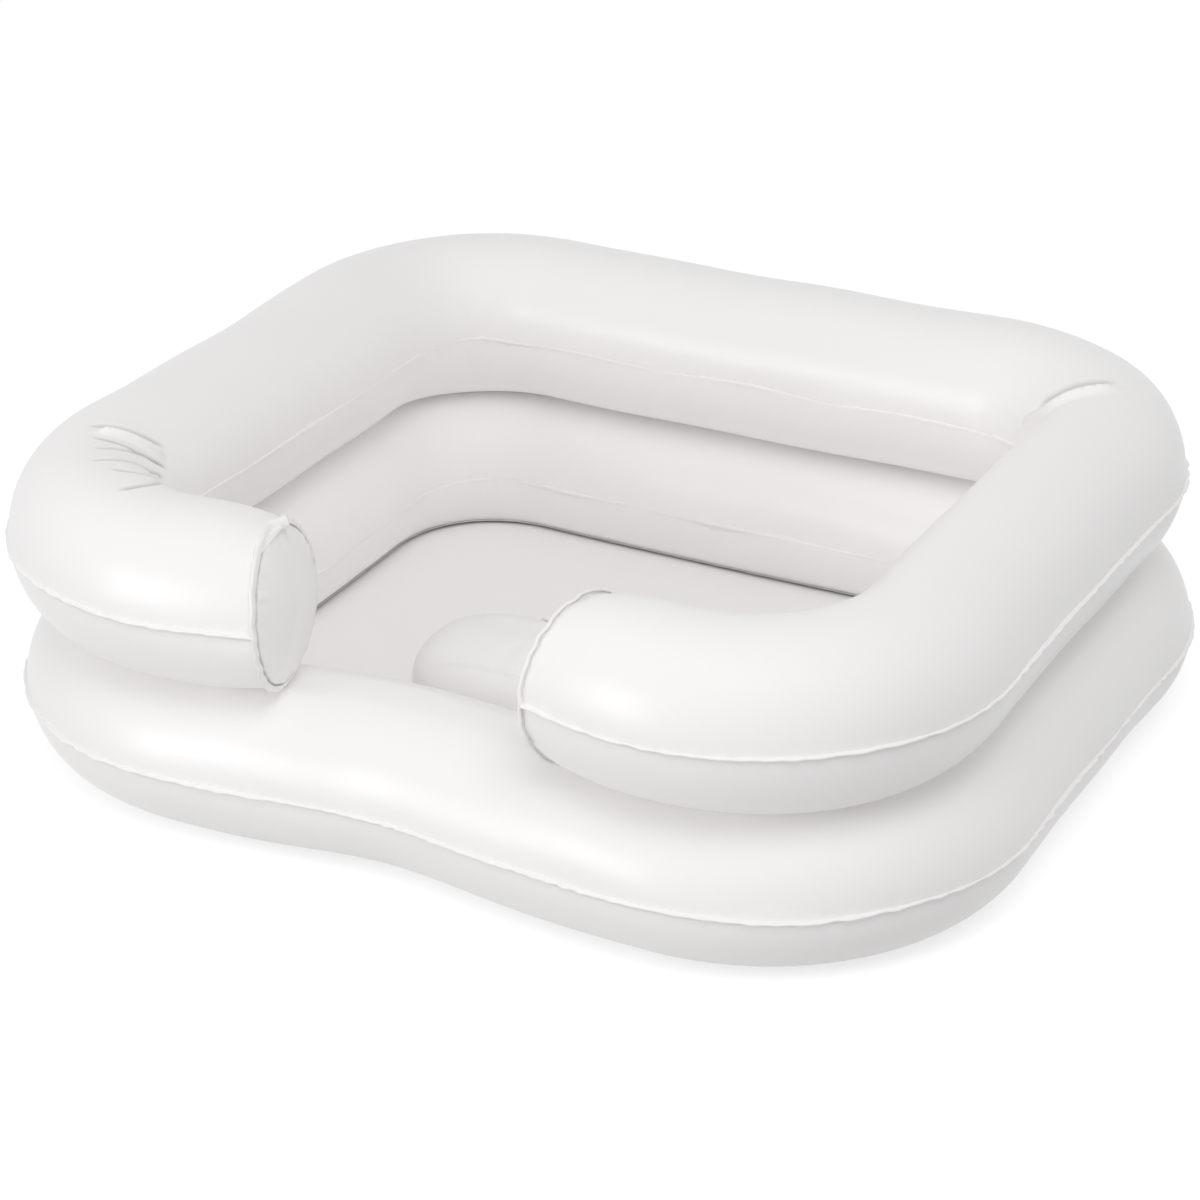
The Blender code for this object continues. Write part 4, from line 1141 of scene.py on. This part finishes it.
# %% Headrest shape
PLAN_POWER = 3
EDGE_POWERS = (3, 2.2)
CROWN_POWERS = (4, 2.6)
PILLOW_WELD = 0.0034
PILLOW_SECTORS = 240
PILLOW_SLACK = 0.0007
PILLOW_HEM = 0.004
PILLOW_GATHERS, PILLOW_WAVES, PILLOW_BRIM = (30, 70, 0.00030), (2, 7), (20, 60, 0.00022)
PILLOW_VALVE = Vector((-0.014, -0.051))
FOLD_PLACE, FOLD_BOW, FOLD_SPAN = -0.0375, 0.0030, 0.060
FOLD_HEIGHT, FOLD_WIDTH = 0.0014, 0.0011
FOLD_LEFT, FOLD_LEFT_FADE, FOLD_RIGHT, FOLD_RIGHT_FADE = -0.066, 0.014, 0.014, 0.020
PILLOW_ROWS, PILLOW_POLE = 70, 0.04
GATHER_SHARE, GATHER_POWER, GATHER_START = 0.045, 1.2, 0.004
SLACK_POWER = 1.5
FRONT_TURN, PILLOW_INSIDE = 1.5, 0.0009
pillow_low, pillow_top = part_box("headrest_top_film")
pillow_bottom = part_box("headrest_bottom_film")[0].z
PILLOW_CENTRE = Vector(((pillow_low.x + pillow_top.x) / 2, (pillow_low.y + pillow_top.y) / 2,
                        pillow_low.z - SEAM_GAP / 2))
PILLOW_LENGTH = (pillow_top.x - pillow_low.x) / 2 - PILLOW_HEM
PILLOW_DEPTH = (pillow_top.y - pillow_low.y) / 2 - PILLOW_HEM
PILLOW_RISE = pillow_top.z - PILLOW_CENTRE.z
PILLOW_DROP = PILLOW_CENTRE.z - pillow_bottom


def crown_share(share, front):
    """(1 - share to the crown power) to one over the edge power: level top, steep shoulders. Both
    powers fall towards the front, where the shoulder is rounder."""
    crown, edge = (back + front * (fore - back) for back, fore in (CROWN_POWERS, EDGE_POWERS))
    return np.maximum(0, 1 - share[:, None] ** crown) ** (1 / edge)


def shoulder_fold(x, y):
    """Fine raised crease along the front shoulder, from the left towards the right."""
    line = FOLD_PLACE + FOLD_BOW * np.cos((x - PILLOW_CENTRE.x) / FOLD_SPAN)
    away = (y - PILLOW_CENTRE.y - line) / FOLD_WIDTH
    ends = (np.clip((x - FOLD_LEFT) / FOLD_LEFT_FADE, 0, 1)
            * np.clip((FOLD_RIGHT - x) / FOLD_RIGHT_FADE, 0, 1))
    return FOLD_HEIGHT * np.exp(-away ** 2) * ends


def make_pillow_film(name, sign, depth):
    """Polar grid from the flange's edge over the shoulders to the pole, and back inside."""
    theta = 2 * math.pi * (np.arange(PILLOW_SECTORS) + 0.5) / PILLOW_SECTORS
    c, d = np.cos(theta), np.sin(theta)
    reach = (np.abs(c / PILLOW_LENGTH) ** PLAN_POWER + np.abs(d / PILLOW_DEPTH) ** PLAN_POWER)
    reach = reach ** (-1 / PLAN_POWER)
    bend = np.sin(np.linspace(0, math.pi / 2, PILLOW_ROWS))[1:]
    shares = np.concatenate([[1.0], np.sqrt(1 - bend[:-2] ** 4), [PILLOW_POLE]])
    gather = waves(theta, 2 * math.pi, *PILLOW_GATHERS, 91 if sign > 0 else 92)
    near_weld = (np.exp(-((1 - shares) / GATHER_SHARE) ** GATHER_POWER)
                 * np.clip((1 - shares) / GATHER_START, 0, 1))
    slack = waves(theta, 2 * math.pi, *PILLOW_WAVES, PILLOW_SLACK, 93)
    slack_share = np.clip(4 * shares * (1 - shares), 0, 1) ** SLACK_POWER
    layers = []
    for thick in (FILM, 0.0):
        inset = FILM - thick
        front = np.clip(-FRONT_TURN * d, 0, 1)
        rise = (depth - SEAM_GAP / 2 - FILM) * crown_share(shares, front)
        h = SEAM_GAP / 2 + thick + rise
        pull = near_weld[:, None] * np.minimum(gather, 0)
        r = shares[:, None] * (reach - inset)
        x, y = PILLOW_CENTRE.x + r * c, PILLOW_CENTRE.y + r * d
        away = np.hypot(x - PILLOW_VALVE.x, y - PILLOW_VALVE.y) if sign > 0 else np.ones_like(x)
        still = np.clip(2 * away / VALVE_CALM - 1, 0, 1)
        x, y = x + still * pull * c, y + still * pull * d
        h = h + still * slack_share[:, None] * (slack - PILLOW_SLACK)
        if sign > 0:
            deeper = 0.0 if thick else PILLOW_INSIDE
            h = h + shoulder_fold(x, y) - deeper * slack_share[:, None]
        edge = reach + PILLOW_WELD + waves(theta, 2 * math.pi, *PILLOW_BRIM, 94)
        out = reach + np.array([[1.0], [0.5]]) * (edge - reach)
        brim = np.stack([PILLOW_CENTRE.x + out * c, PILLOW_CENTRE.y + out * d,
                         np.full_like(out, SEAM_GAP / 2 + thick)], -1)
        layer = np.concatenate([brim, np.stack([x, y, h], -1)])
        layer[..., 2] = PILLOW_CENTRE.z + sign * layer[..., 2]
        layers.append(layer)
    points = np.concatenate([layers[0], layers[1][::-1]])
    return closed_cup(name + "_skin", points, len(layers[0]), vinyls["headrest"],
                      "headrest_film", 2)


films["headrest"] = make_pillow_film("headrest_top_film", 1, PILLOW_RISE)
headrest_under = make_pillow_film("headrest_bottom_film", -1, PILLOW_DROP)
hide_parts("headrest_top_film")
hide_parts("headrest_bottom_film")
print("headrest", round(2 * PILLOW_LENGTH, 3), "x", round(2 * PILLOW_DEPTH, 3), "m")

# %% [markdown]
# ## Floor film
# The floor is one sheet of film, welded round the foot of the lower tube. Its edge turns up
# along the tube as the weld band. In the middle it is stretched nearly flat, with a few slack
# ripples that die away towards the weld, the headrest and the drain, which all hold it down.

# %% Floor film
FLOOR_WELD = math.radians(54)
FLOOR_BAND = 0.006
FLOOR_SAG = 0.0003
FLOOR_RIPPLE = 0.0006
FLOOR_WAVES, FLOOR_SHORTEST, FLOOR_LONGEST = 16, 0.06, 0.20
FLOOR_EDGE, REST_START, REST_FADE = 0.18, 0.7, 0.5
FLOOR_STATIONS = 400
FLOOR_SHARES = np.append(np.linspace(1, 0.06, 64), 0.03)
BAND_WAVES = (30, 120, 0.00010)
# Painted shade of the floor's first rows: a dark line at the foot of the weld band, standing in for
# the shade where the floor meets the tube.
FLOOR_PAINTED_SHADE = (0.2, 0.9, 0.9, 0.1)
DRAIN_PLACE = Vector((0.165, -0.105))
DRAIN_CALM = 0.030
foot = Vector((-lower.wide * math.cos(FLOOR_WELD), -lower.high * math.sin(FLOOR_WELD)))
lean = Vector((-lower.wide * math.sin(FLOOR_WELD), lower.high * math.cos(FLOOR_WELD)))
lean.normalize()
away = Vector((-lean.y, lean.x))
foot = foot + away * SEAM_GAP
floor_under = lower.centre_z + foot.y


def floor_slack(x, y, share):
    """Random ripples: a sum of slanted waves, none near the weld, the headrest or the drain."""
    dice = np.random.default_rng(51)
    total = np.zeros(x.shape)
    for _ in range(FLOOR_WAVES):
        heading, length = dice.uniform(0, math.pi), dice.uniform(FLOOR_SHORTEST, FLOOR_LONGEST)
        phase = dice.uniform(0, 2 * math.pi)
        total += np.cos(2 * math.pi * (x * math.cos(heading) + y * math.sin(heading)) / length
                        + phase)
    ripple = FLOOR_RIPPLE * (total / math.sqrt(FLOOR_WAVES / 2) - 2) / 2
    edge = np.clip((1 - share) / FLOOR_EDGE, 0, 1)
    drain = np.clip(np.hypot(x - DRAIN_PLACE.x, y - DRAIN_PLACE.y) / DRAIN_CALM - 1, 0, 1)
    px, py = (x - PILLOW_CENTRE.x) / PILLOW_LENGTH, (y - PILLOW_CENTRE.y) / PILLOW_DEPTH
    rest = np.clip((np.hypot(px, py) - REST_START) / REST_FADE, 0, 1)
    return ripple * edge * drain * rest


def make_floor():
    """Rings of points from the tip of the weld band inwards, on both faces."""
    s = lower.length * np.arange(FLOOR_STATIONS) / FLOOR_STATIONS
    place, _, normal = lower.frame(s)
    tip = foot + lean * FLOOR_BAND
    middle = (place + foot.x * normal).mean(0)
    shares = FLOOR_SHARES
    band = waves(s, lower.length, *BAND_WAVES, 52)
    layers = []
    for thick in (FILM, 0.0):
        rise = []
        for step in (1.0, 0.5):
            w = foot.x + step * (tip.x - foot.x) + thick * away.x
            h = foot.y + step * (tip.y - foot.y) + thick * away.y
            flat = place + (w + 0 * s)[:, None] * normal
            rise.append(np.concatenate([flat, (lower.centre_z + h + band * step)[:, None]], -1))
        edge = place + (foot.x - (FILM if thick else 0)) * normal
        flat = middle + shares[:, None, None] * (edge - middle)
        sag = -FLOOR_SAG * (1 - shares ** 2)[:, None]
        slack = floor_slack(flat[..., 0], flat[..., 1], shares[:, None])
        z = floor_under + thick + sag + slack
        layers.append(np.concatenate([np.stack(rise), np.concatenate([flat, z[..., None]], -1)]))
    points = np.concatenate([layers[0], layers[1][::-1]])
    piece = closed_cup("basin_floor_film_skin", points, len(layers[0]), vinyls["floor"],
                       "floor_film", 3, FLOOR_PAINTED_SHADE)
    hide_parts("basin_floor_film")
    edge = place + foot.x * normal
    return piece


floor_film = make_floor()

# %% [markdown]
# ## Turned pieces
# Valves and the drain are moulded from soft white vinyl. Each of their pieces is a profile
# turned about its axis, sometimes with a tab or strap joined on. The strap ends in a round
# knuckle, which is the hinge that the piece turns on.

# %% Turning helpers
ROUND_SECTORS = 72
KNUCKLE_POINTS = 25
EDGE_ROUND, ROUND_STEPS, ROUND_DEGREES = 0.00018, 3, 38


def turned(profile, centre=(0, 0, 0)):
    """Points and faces of a closed profile of (radius, height) turned about Z."""
    theta = circle(ROUND_SECTORS)
    points, rows = [], []
    count = 0
    for radius, height in profile:
        if radius == 0:
            points.append(np.array([[0, 0, height]]))
            rows.append(np.full(ROUND_SECTORS, count))
            count += 1
        else:
            ring = np.stack([radius * np.cos(theta), radius * np.sin(theta),
                             np.full(ROUND_SECTORS, height)], -1)
            points.append(ring)
            rows.append(count + np.arange(ROUND_SECTORS))
            count += ROUND_SECTORS
    faces = []
    for low, high in zip(rows, rows[1:] + rows[:1]):
        quads = np.stack([low, np.roll(low, -1), np.roll(high, -1), high], -1).tolist()
        faces += [loop for loop in (list(dict.fromkeys(q)) for q in quads) if len(loop) > 2]
    return np.concatenate(points) + np.array(centre), faces


def bar(outline, width):
    """A closed outline of (x, z) points drawn out along Y to half the width on each side."""
    outline = np.array(outline)
    count = len(outline)
    near = np.stack([outline[:, 0], np.full(count, -width / 2), outline[:, 1]], -1)
    points = np.concatenate([near, near * (1, -1, 1)])
    k = np.arange(count)
    k2 = (k + 1) % count
    faces = np.stack([k, k2, count + k2, count + k], -1).tolist()
    return points, faces + [k.tolist(), (count + k[::-1]).tolist()]


def strap_outline(start, reach, thickness, knuckle):
    """Side view of a strap that ends in a round knuckle centred on the origin."""
    half = math.asin(thickness / 2 / knuckle)
    turns = (math.pi - half) * np.linspace(-1, 1, KNUCKLE_POINTS)
    return ([(start - reach, -thickness / 2)]
            + [(knuckle * math.cos(t), knuckle * math.sin(t)) for t in turns]
            + [(start - reach, thickness / 2)])


print("a turned piece has", ROUND_SECTORS, "sectors")

# %% [markdown]
# Turned parts are joined and cut with exact booleans. Dressing a piece rounds its sharp edges,
# puts it in its place on its body, and hides the model's own piece that it stands for.

# %% Joining and dressing
def loose(name, points, faces):
    """Plain object whose faces point outwards, for joining and cutting."""
    mesh = bpy.data.meshes.new(name)
    mesh.from_pydata(np.asarray(points).tolist(), [], faces)
    outward(mesh)
    return linked(name, mesh)


def finished(item):
    """Puts what the modifiers of an item make into its own mesh."""
    bpy.context.view_layer.update()
    made = bpy.data.meshes.new_from_object(
        item.evaluated_get(bpy.context.evaluated_depsgraph_get()))
    item.modifiers.clear()
    item.data = made
    return item


def boolean(item, operation, others):
    """Joins or cuts the others, which are then removed."""
    for other in others:
        step = item.modifiers.new(operation.lower(), "BOOLEAN")
        step.operation = operation
        step.solver = "EXACT"
        step.object = other
    finished(item)
    for other in others:
        bpy.data.objects.remove(other)
    return item


def dress(item, node, place, body, kind):
    """Rounds an item's sharp edges, moves its mesh to its place and lets it stand for a node; the
    kind of vinyl names its material."""
    step = item.modifiers.new("round", "BEVEL")
    step.width = EDGE_ROUND
    step.segments = ROUND_STEPS
    step.limit_method = "ANGLE"
    step.angle_limit = math.radians(ROUND_DEGREES)
    finished(item)
    mesh = item.data
    mesh.transform(place)
    soften(mesh)
    mesh.materials.clear()
    mesh.materials.append(vinyls[kind])
    item.name = node + "_form"
    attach(item, body)
    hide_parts(node)
    return item


print("edges are rounded by", 1000 * EDGE_ROUND, "mm")

# %% [markdown]
# ## Valves
# Each chamber has a push-in valve. A thin flange is welded to the film, and the stem with its
# barrel pushes in flush with it. The stopper hangs on a strap that turns on the stem's tab, and a
# little flap under the barrel lets air in but not out.

# %% Valve pieces
FLANGE_RADIUS, FLANGE_THICKNESS, FLANGE_HOLE = 0.0125, 0.0010, 0.0066
FILM_HOLE = 0.0069
BARREL_RADIUS, BARREL_DEPTH, BORE_RADIUS = 0.0060, 0.0156, 0.0035
RIM_RADIUS, RIM_THICKNESS = 0.0075, 0.0010
LIP_RADIUS, LIP_THICKNESS = 0.0076, 0.0010
TAB_WIDTH, TAB_STEP = 0.0044, 0.0001
PLUG_HEAD, PLUG_THICKNESS, PLUG_LENGTH = 0.0055, 0.0014, 0.0045
PLUG_TOP, PLUG_TIP = 0.0032, 0.0025
STRAP_REACH, STRAP_WIDTH, STRAP_THICKNESS, KNUCKLE = 0.0140, 0.0034, 0.0008, 0.00055
FLAP_RADIUS, FLAP_THICKNESS = 0.0046, 0.0006
DISH_DEPTH, DISH_RIM, DISH_SLOPE, HEAD_CHAMFER = 0.0004, 0.0012, 0.0006, 0.0003
BEAD_SHARE, BEAD_IN, BEAD_UP, BEAD_BACK, BEAD_DOWN = 0.45, 0.0002, 0.0004, 0.0003, 0.0005
MOUTH_CHAMFER, RIM_CHAMFER, LIP_SLOPE, LIP_SHARE = 0.0004, 0.0003, 0.0006, 0.6
FLANGE_ROWS, TOOL_DEPTH, TOOL_PITCH, PROBE_HIGH = 22, 0.00012, 0.0022, 0.02
HOLE_REACH = 0.003
RIM_LOW = 2 * SEAM_GAP + FLANGE_THICKNESS
RIM_HIGH = RIM_LOW + RIM_THICKNESS
HINGE_HIGH = RIM_HIGH + SEAM_GAP + KNUCKLE


def stopper(reach, head, thickness, top, tip, length, width, strap, knuckle):
    """Stopper with a dished head and a bead round its shank, and its strap, in the frame of its
    hinge line."""
    head_low = -knuckle
    head_high = head_low + thickness
    tip_low = head_low - SEAM_GAP - length
    bead = head_low - BEAD_SHARE * (SEAM_GAP + length)
    dish = head - DISH_RIM
    points, faces = turned([
        (0, head_high - DISH_DEPTH), (dish - DISH_SLOPE, head_high - DISH_DEPTH),
        (dish, head_high), (head - HEAD_CHAMFER, head_high), (head, head_high - HEAD_CHAMFER),
        (head, head_low), (top, head_low), (top - BEAD_IN, bead + BEAD_UP), (top, bead),
        (top - BEAD_BACK, bead - BEAD_DOWN), (tip, tip_low), (0, tip_low)], (-reach, 0, 0))
    plug = loose("stopper", points, faces)
    tongue = loose("tongue", *bar(strap_outline((top + head) / 2, reach, strap, knuckle), width))
    return boolean(plug, "UNION", [tongue])


def valve_stem():
    """Barrel with a rim above, a retaining lip below, and the tab that carries the strap."""
    bottom = -BARREL_DEPTH
    rim = RIM_RADIUS
    points, faces = turned([
        (BORE_RADIUS + MOUTH_CHAMFER, RIM_HIGH), (BORE_RADIUS, RIM_HIGH - MOUTH_CHAMFER),
        (BORE_RADIUS, bottom), (LIP_RADIUS - LIP_SLOPE, bottom),
        (LIP_RADIUS, bottom + LIP_SHARE * LIP_THICKNESS), (LIP_RADIUS, bottom + LIP_THICKNESS),
        (BARREL_RADIUS, bottom + LIP_THICKNESS), (BARREL_RADIUS, RIM_LOW), (rim, RIM_LOW),
        (rim, RIM_HIGH - RIM_CHAMFER), (rim - RIM_CHAMFER, RIM_HIGH)])
    stem = loose("stem", points, faces)
    start, end = (BORE_RADIUS + BARREL_RADIUS) / 2, STRAP_REACH + KNUCKLE
    low, high = RIM_LOW + TAB_STEP, RIM_HIGH - TAB_STEP
    tab = loose("tab", *bar([(start, low), (end, low), (end, high), (start, high)], TAB_WIDTH))
    return boolean(stem, "UNION", [tab])


def valve_flange(place, tree):
    """Welded ring that follows the film: each point is set over the film below it, and two
    shallow grooves of the welding tool run round it."""
    theta = circle(ROUND_SECTORS)
    radii = np.linspace(FLANGE_HOLE, FLANGE_RADIUS, FLANGE_ROWS)
    groove = TOOL_DEPTH * (np.cos(2 * math.pi * (radii - FLANGE_HOLE) / TOOL_PITCH) - 1)
    loops = [(r, SEAM_GAP, 0.0) for r in radii[::-1]]
    loops += [(r, SEAM_GAP + FLANGE_THICKNESS, g) for r, g in zip(radii, groove)]
    axis = place.col[2].xyz
    heights = {}
    points = []
    for radius, lift, carve in loops:
        if radius not in heights:
            over = []
            for t in theta:
                start = place @ Vector((radius * math.cos(t), radius * math.sin(t), PROBE_HIGH))
                hit = tree.ray_cast(start, -axis)[0]
                over.append((hit - start).dot(axis) + PROBE_HIGH)
            heights[radius] = np.array(over)
        high = lift + carve + heights[radius]
        points.append(np.stack([radius * np.cos(theta), radius * np.sin(theta), high], -1))
    points = np.stack(points)
    faces = grid_faces(len(loops), ROUND_SECTORS, True, True).tolist()
    return loose("flange", points.reshape(-1, 3), faces)


print("rim from", round(1000 * RIM_LOW, 2), "to", round(1000 * RIM_HIGH, 2), "mm over the film")

# %% [markdown]
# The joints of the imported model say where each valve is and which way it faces. The film below
# it is cut open for the barrel after the flange has been laid on it.

# %% Valves in place
def valve_frame(label):
    """Frame of a valve: X along the strap, Z out of the film, from its slide and its hinges."""
    joints = {j["name"]: j for j in frame["joints"]}
    out = Vector(joints[label + "_stem_slide"]["axis"]).normalized()
    across = Vector(joints[label + "_plug_hinge"]["axis"]).normalized()
    along = across.cross(out)
    hinge = Vector(joints[label + "_plug_hinge"]["pos_m"])
    place = Matrix((along, across, out)).transposed().to_4x4()
    place.translation = hinge - STRAP_REACH * along - HINGE_HIGH * out
    return place


def make_valve(label):
    """Every piece of one valve, and the hole for it in the film."""
    place = valve_frame(label)
    film = films[label]
    tree = BVHTree.FromObject(film, bpy.context.evaluated_depsgraph_get())
    flange = valve_flange(place, tree)
    cutter = loose("hole", *turned([(0, HOLE_REACH), (FILM_HOLE, HOLE_REACH),
                                    (FILM_HOLE, -3 * HOLE_REACH), (0, -3 * HOLE_REACH)]))
    cutter.data.transform(place)
    boolean(film, "DIFFERENCE", [cutter])
    soften(film.data)
    dress(flange, label + "_valve_flange", place, "basin", "valve")
    dress(valve_stem(), label + "_valve_stem", place, label + "_stem", "valve")
    plug = stopper(STRAP_REACH, PLUG_HEAD, PLUG_THICKNESS, PLUG_TOP, PLUG_TIP, PLUG_LENGTH,
                   STRAP_WIDTH, STRAP_THICKNESS, KNUCKLE)
    hinge = place @ Matrix.Translation((STRAP_REACH, 0, HINGE_HIGH))
    dress(plug, label + "_valve_plug", hinge, label + "_plug", "valve")
    half = FLAP_THICKNESS / 2
    disc = turned([(0, half), (FLAP_RADIUS, half), (FLAP_RADIUS, -half), (0, -half)])
    under = place @ Matrix.Translation((0, 0, -BARREL_DEPTH - SEAM_GAP - half))
    dress(loose("flap", *disc), label + "_valve_flap", under, label + "_flap", "valve")
    return place.translation


for label in ("upper", "lower", "headrest"):
    print(label, "valve at", [round(v, 3) for v in make_valve(label)])

# %% [markdown]
# ## Drain
# On the floor behind the right arm an outlet is moulded with a barbed spigot for a hose. Its
# flange is welded under the floor film, a collar above holds the film between them, and a
# strapped stopper closes it.

# %% Drain pieces
DRAIN_RADIUS, DRAIN_BORE, DRAIN_NECK, DRAIN_CLEAR = 0.0150, 0.0050, 0.0066, 0.0003
COLLAR_THICKNESS, DRAIN_WALL, DRAIN_BODY, DRAIN_FOOT = 0.0016, 0.0010, 0.0085, 0.0004
SPIGOT_RADIUS, SPIGOT_BORE, SPIGOT_LENGTH = 0.0039, 0.0031, 0.0260
BARB, BARB_LENGTH = 0.0003, 0.0050
DRAIN_HEAD, DRAIN_THICKNESS, DRAIN_LENGTH = 0.0085, 0.0018, 0.0036
DRAIN_TOP, DRAIN_TIP = 0.0047, 0.0042
DRAIN_REACH, DRAIN_WIDTH, DRAIN_STRAP, DRAIN_KNUCKLE = 0.0200, 0.0050, 0.0010, 0.0007
collar_low = floor_under + FILM + SEAM_GAP
collar_high = collar_low + COLLAR_THICKNESS
flange_high = floor_under - FLOOR_SAG - SEAM_GAP
flange_low = flange_high - DRAIN_WALL
neck_hole = DRAIN_NECK + DRAIN_CLEAR
DRAIN_AXIS = Matrix.Translation((*DRAIN_PLACE, 0))


def drain_elbow():
    """Body with its flange and neck, a barbed spigot to one side, and the way through both."""
    body = loose("elbow", *turned([
        (0, DRAIN_FOOT), (DRAIN_BODY, DRAIN_FOOT), (DRAIN_BODY, flange_low),
        (DRAIN_RADIUS, flange_low), (DRAIN_RADIUS, flange_high), (DRAIN_NECK, flange_high),
        (DRAIN_NECK, collar_high), (0, collar_high)]))
    axis_z = DRAIN_FOOT + SPIGOT_RADIUS + BARB
    start, end = DRAIN_BODY / 2, SPIGOT_LENGTH
    barb, tip = SPIGOT_RADIUS + BARB, SPIGOT_RADIUS - BARB
    aside = Matrix.Translation((0, 0, axis_z)) @ Matrix.Rotation(math.radians(90), 4, "Y")
    spigot = loose("spigot", *turned([
        (0, start), (SPIGOT_RADIUS, start), (SPIGOT_RADIUS, end - 2 * BARB_LENGTH),
        (barb, end - 2 * BARB_LENGTH), (SPIGOT_RADIUS, end - BARB_LENGTH),
        (barb, end - BARB_LENGTH), (tip, end), (0, end)]))
    bore = loose("bore", *turned([(0, 0), (SPIGOT_BORE, 0), (SPIGOT_BORE, end + HOLE_REACH),
                                  (0, end + HOLE_REACH)]))
    for item in (spigot, bore):
        item.data.transform(aside)
    well = loose("well", *turned([(0, axis_z - SPIGOT_BORE), (DRAIN_BORE, axis_z - SPIGOT_BORE),
                                  (DRAIN_BORE, collar_high + HOLE_REACH),
                                  (0, collar_high + HOLE_REACH)]))
    boolean(body, "UNION", [spigot])
    return boolean(body, "DIFFERENCE", [well, bore])


def drain_collar():
    """Bevelled ring on the floor film, with the tab that carries the stopper's strap."""
    ring = loose("collar", *turned([
        (neck_hole, collar_low), (DRAIN_RADIUS, collar_low),
        (DRAIN_RADIUS, collar_low + DRAIN_WALL), (DRAIN_RADIUS - DRAIN_WALL, collar_high),
        (neck_hole, collar_high)]))
    low, high = collar_low + TAB_STEP, collar_high - TAB_STEP
    start, end = -(neck_hole + DRAIN_RADIUS) / 2, -(DRAIN_REACH + DRAIN_KNUCKLE)
    tab = loose("collar_tab", *bar([(start, low), (end, low), (end, high), (start, high)],
                                   DRAIN_WIDTH + DRAIN_WALL))
    return boolean(ring, "UNION", [tab])


def make_drain():
    """The three pieces of the drain, and its hole in the floor film."""
    cutter = loose("drain_hole", *turned([(0, floor_under - HOLE_REACH),
                                          (neck_hole, floor_under - HOLE_REACH),
                                          (neck_hole, floor_under + HOLE_REACH),
                                          (0, floor_under + HOLE_REACH)]))
    cutter.data.transform(DRAIN_AXIS)
    boolean(floor_film, "DIFFERENCE", [cutter])
    soften(floor_film.data)
    for make, node in ((drain_elbow, "drain_elbow"), (drain_collar, "drain_collar")):
        dress(make(), node, DRAIN_AXIS, "basin", "drain")
    plug = stopper(DRAIN_REACH, DRAIN_HEAD, DRAIN_THICKNESS, DRAIN_TOP, DRAIN_TIP, DRAIN_LENGTH,
                   DRAIN_WIDTH, DRAIN_STRAP, DRAIN_KNUCKLE)
    hinge_z = collar_high + SEAM_GAP + DRAIN_KNUCKLE
    hinge = (DRAIN_AXIS @ Matrix.Rotation(math.pi, 4, "Z")
             @ Matrix.Translation((DRAIN_REACH, 0, hinge_z)))
    dress(plug, "drain_plug", hinge, "drain_plug", "drain")


make_drain()
print("drain at", [round(v, 3) for v in DRAIN_PLACE], "collar top", round(collar_high, 4))

# %% [markdown]
# ## Finish
# The model's own pieces stay hidden under the finer ones, and get the same materials.

# %% Materials of the model's own pieces
for name, node in frame["nodes"].items():
    kind = next(k for k in ("drain", "valve", "floor", "headrest", "ring") if k in name)
    for slot in node.material_slots:
        slot.material = vinyls[kind]
print("finishes set on", len(frame["nodes"]), "pieces of the model")
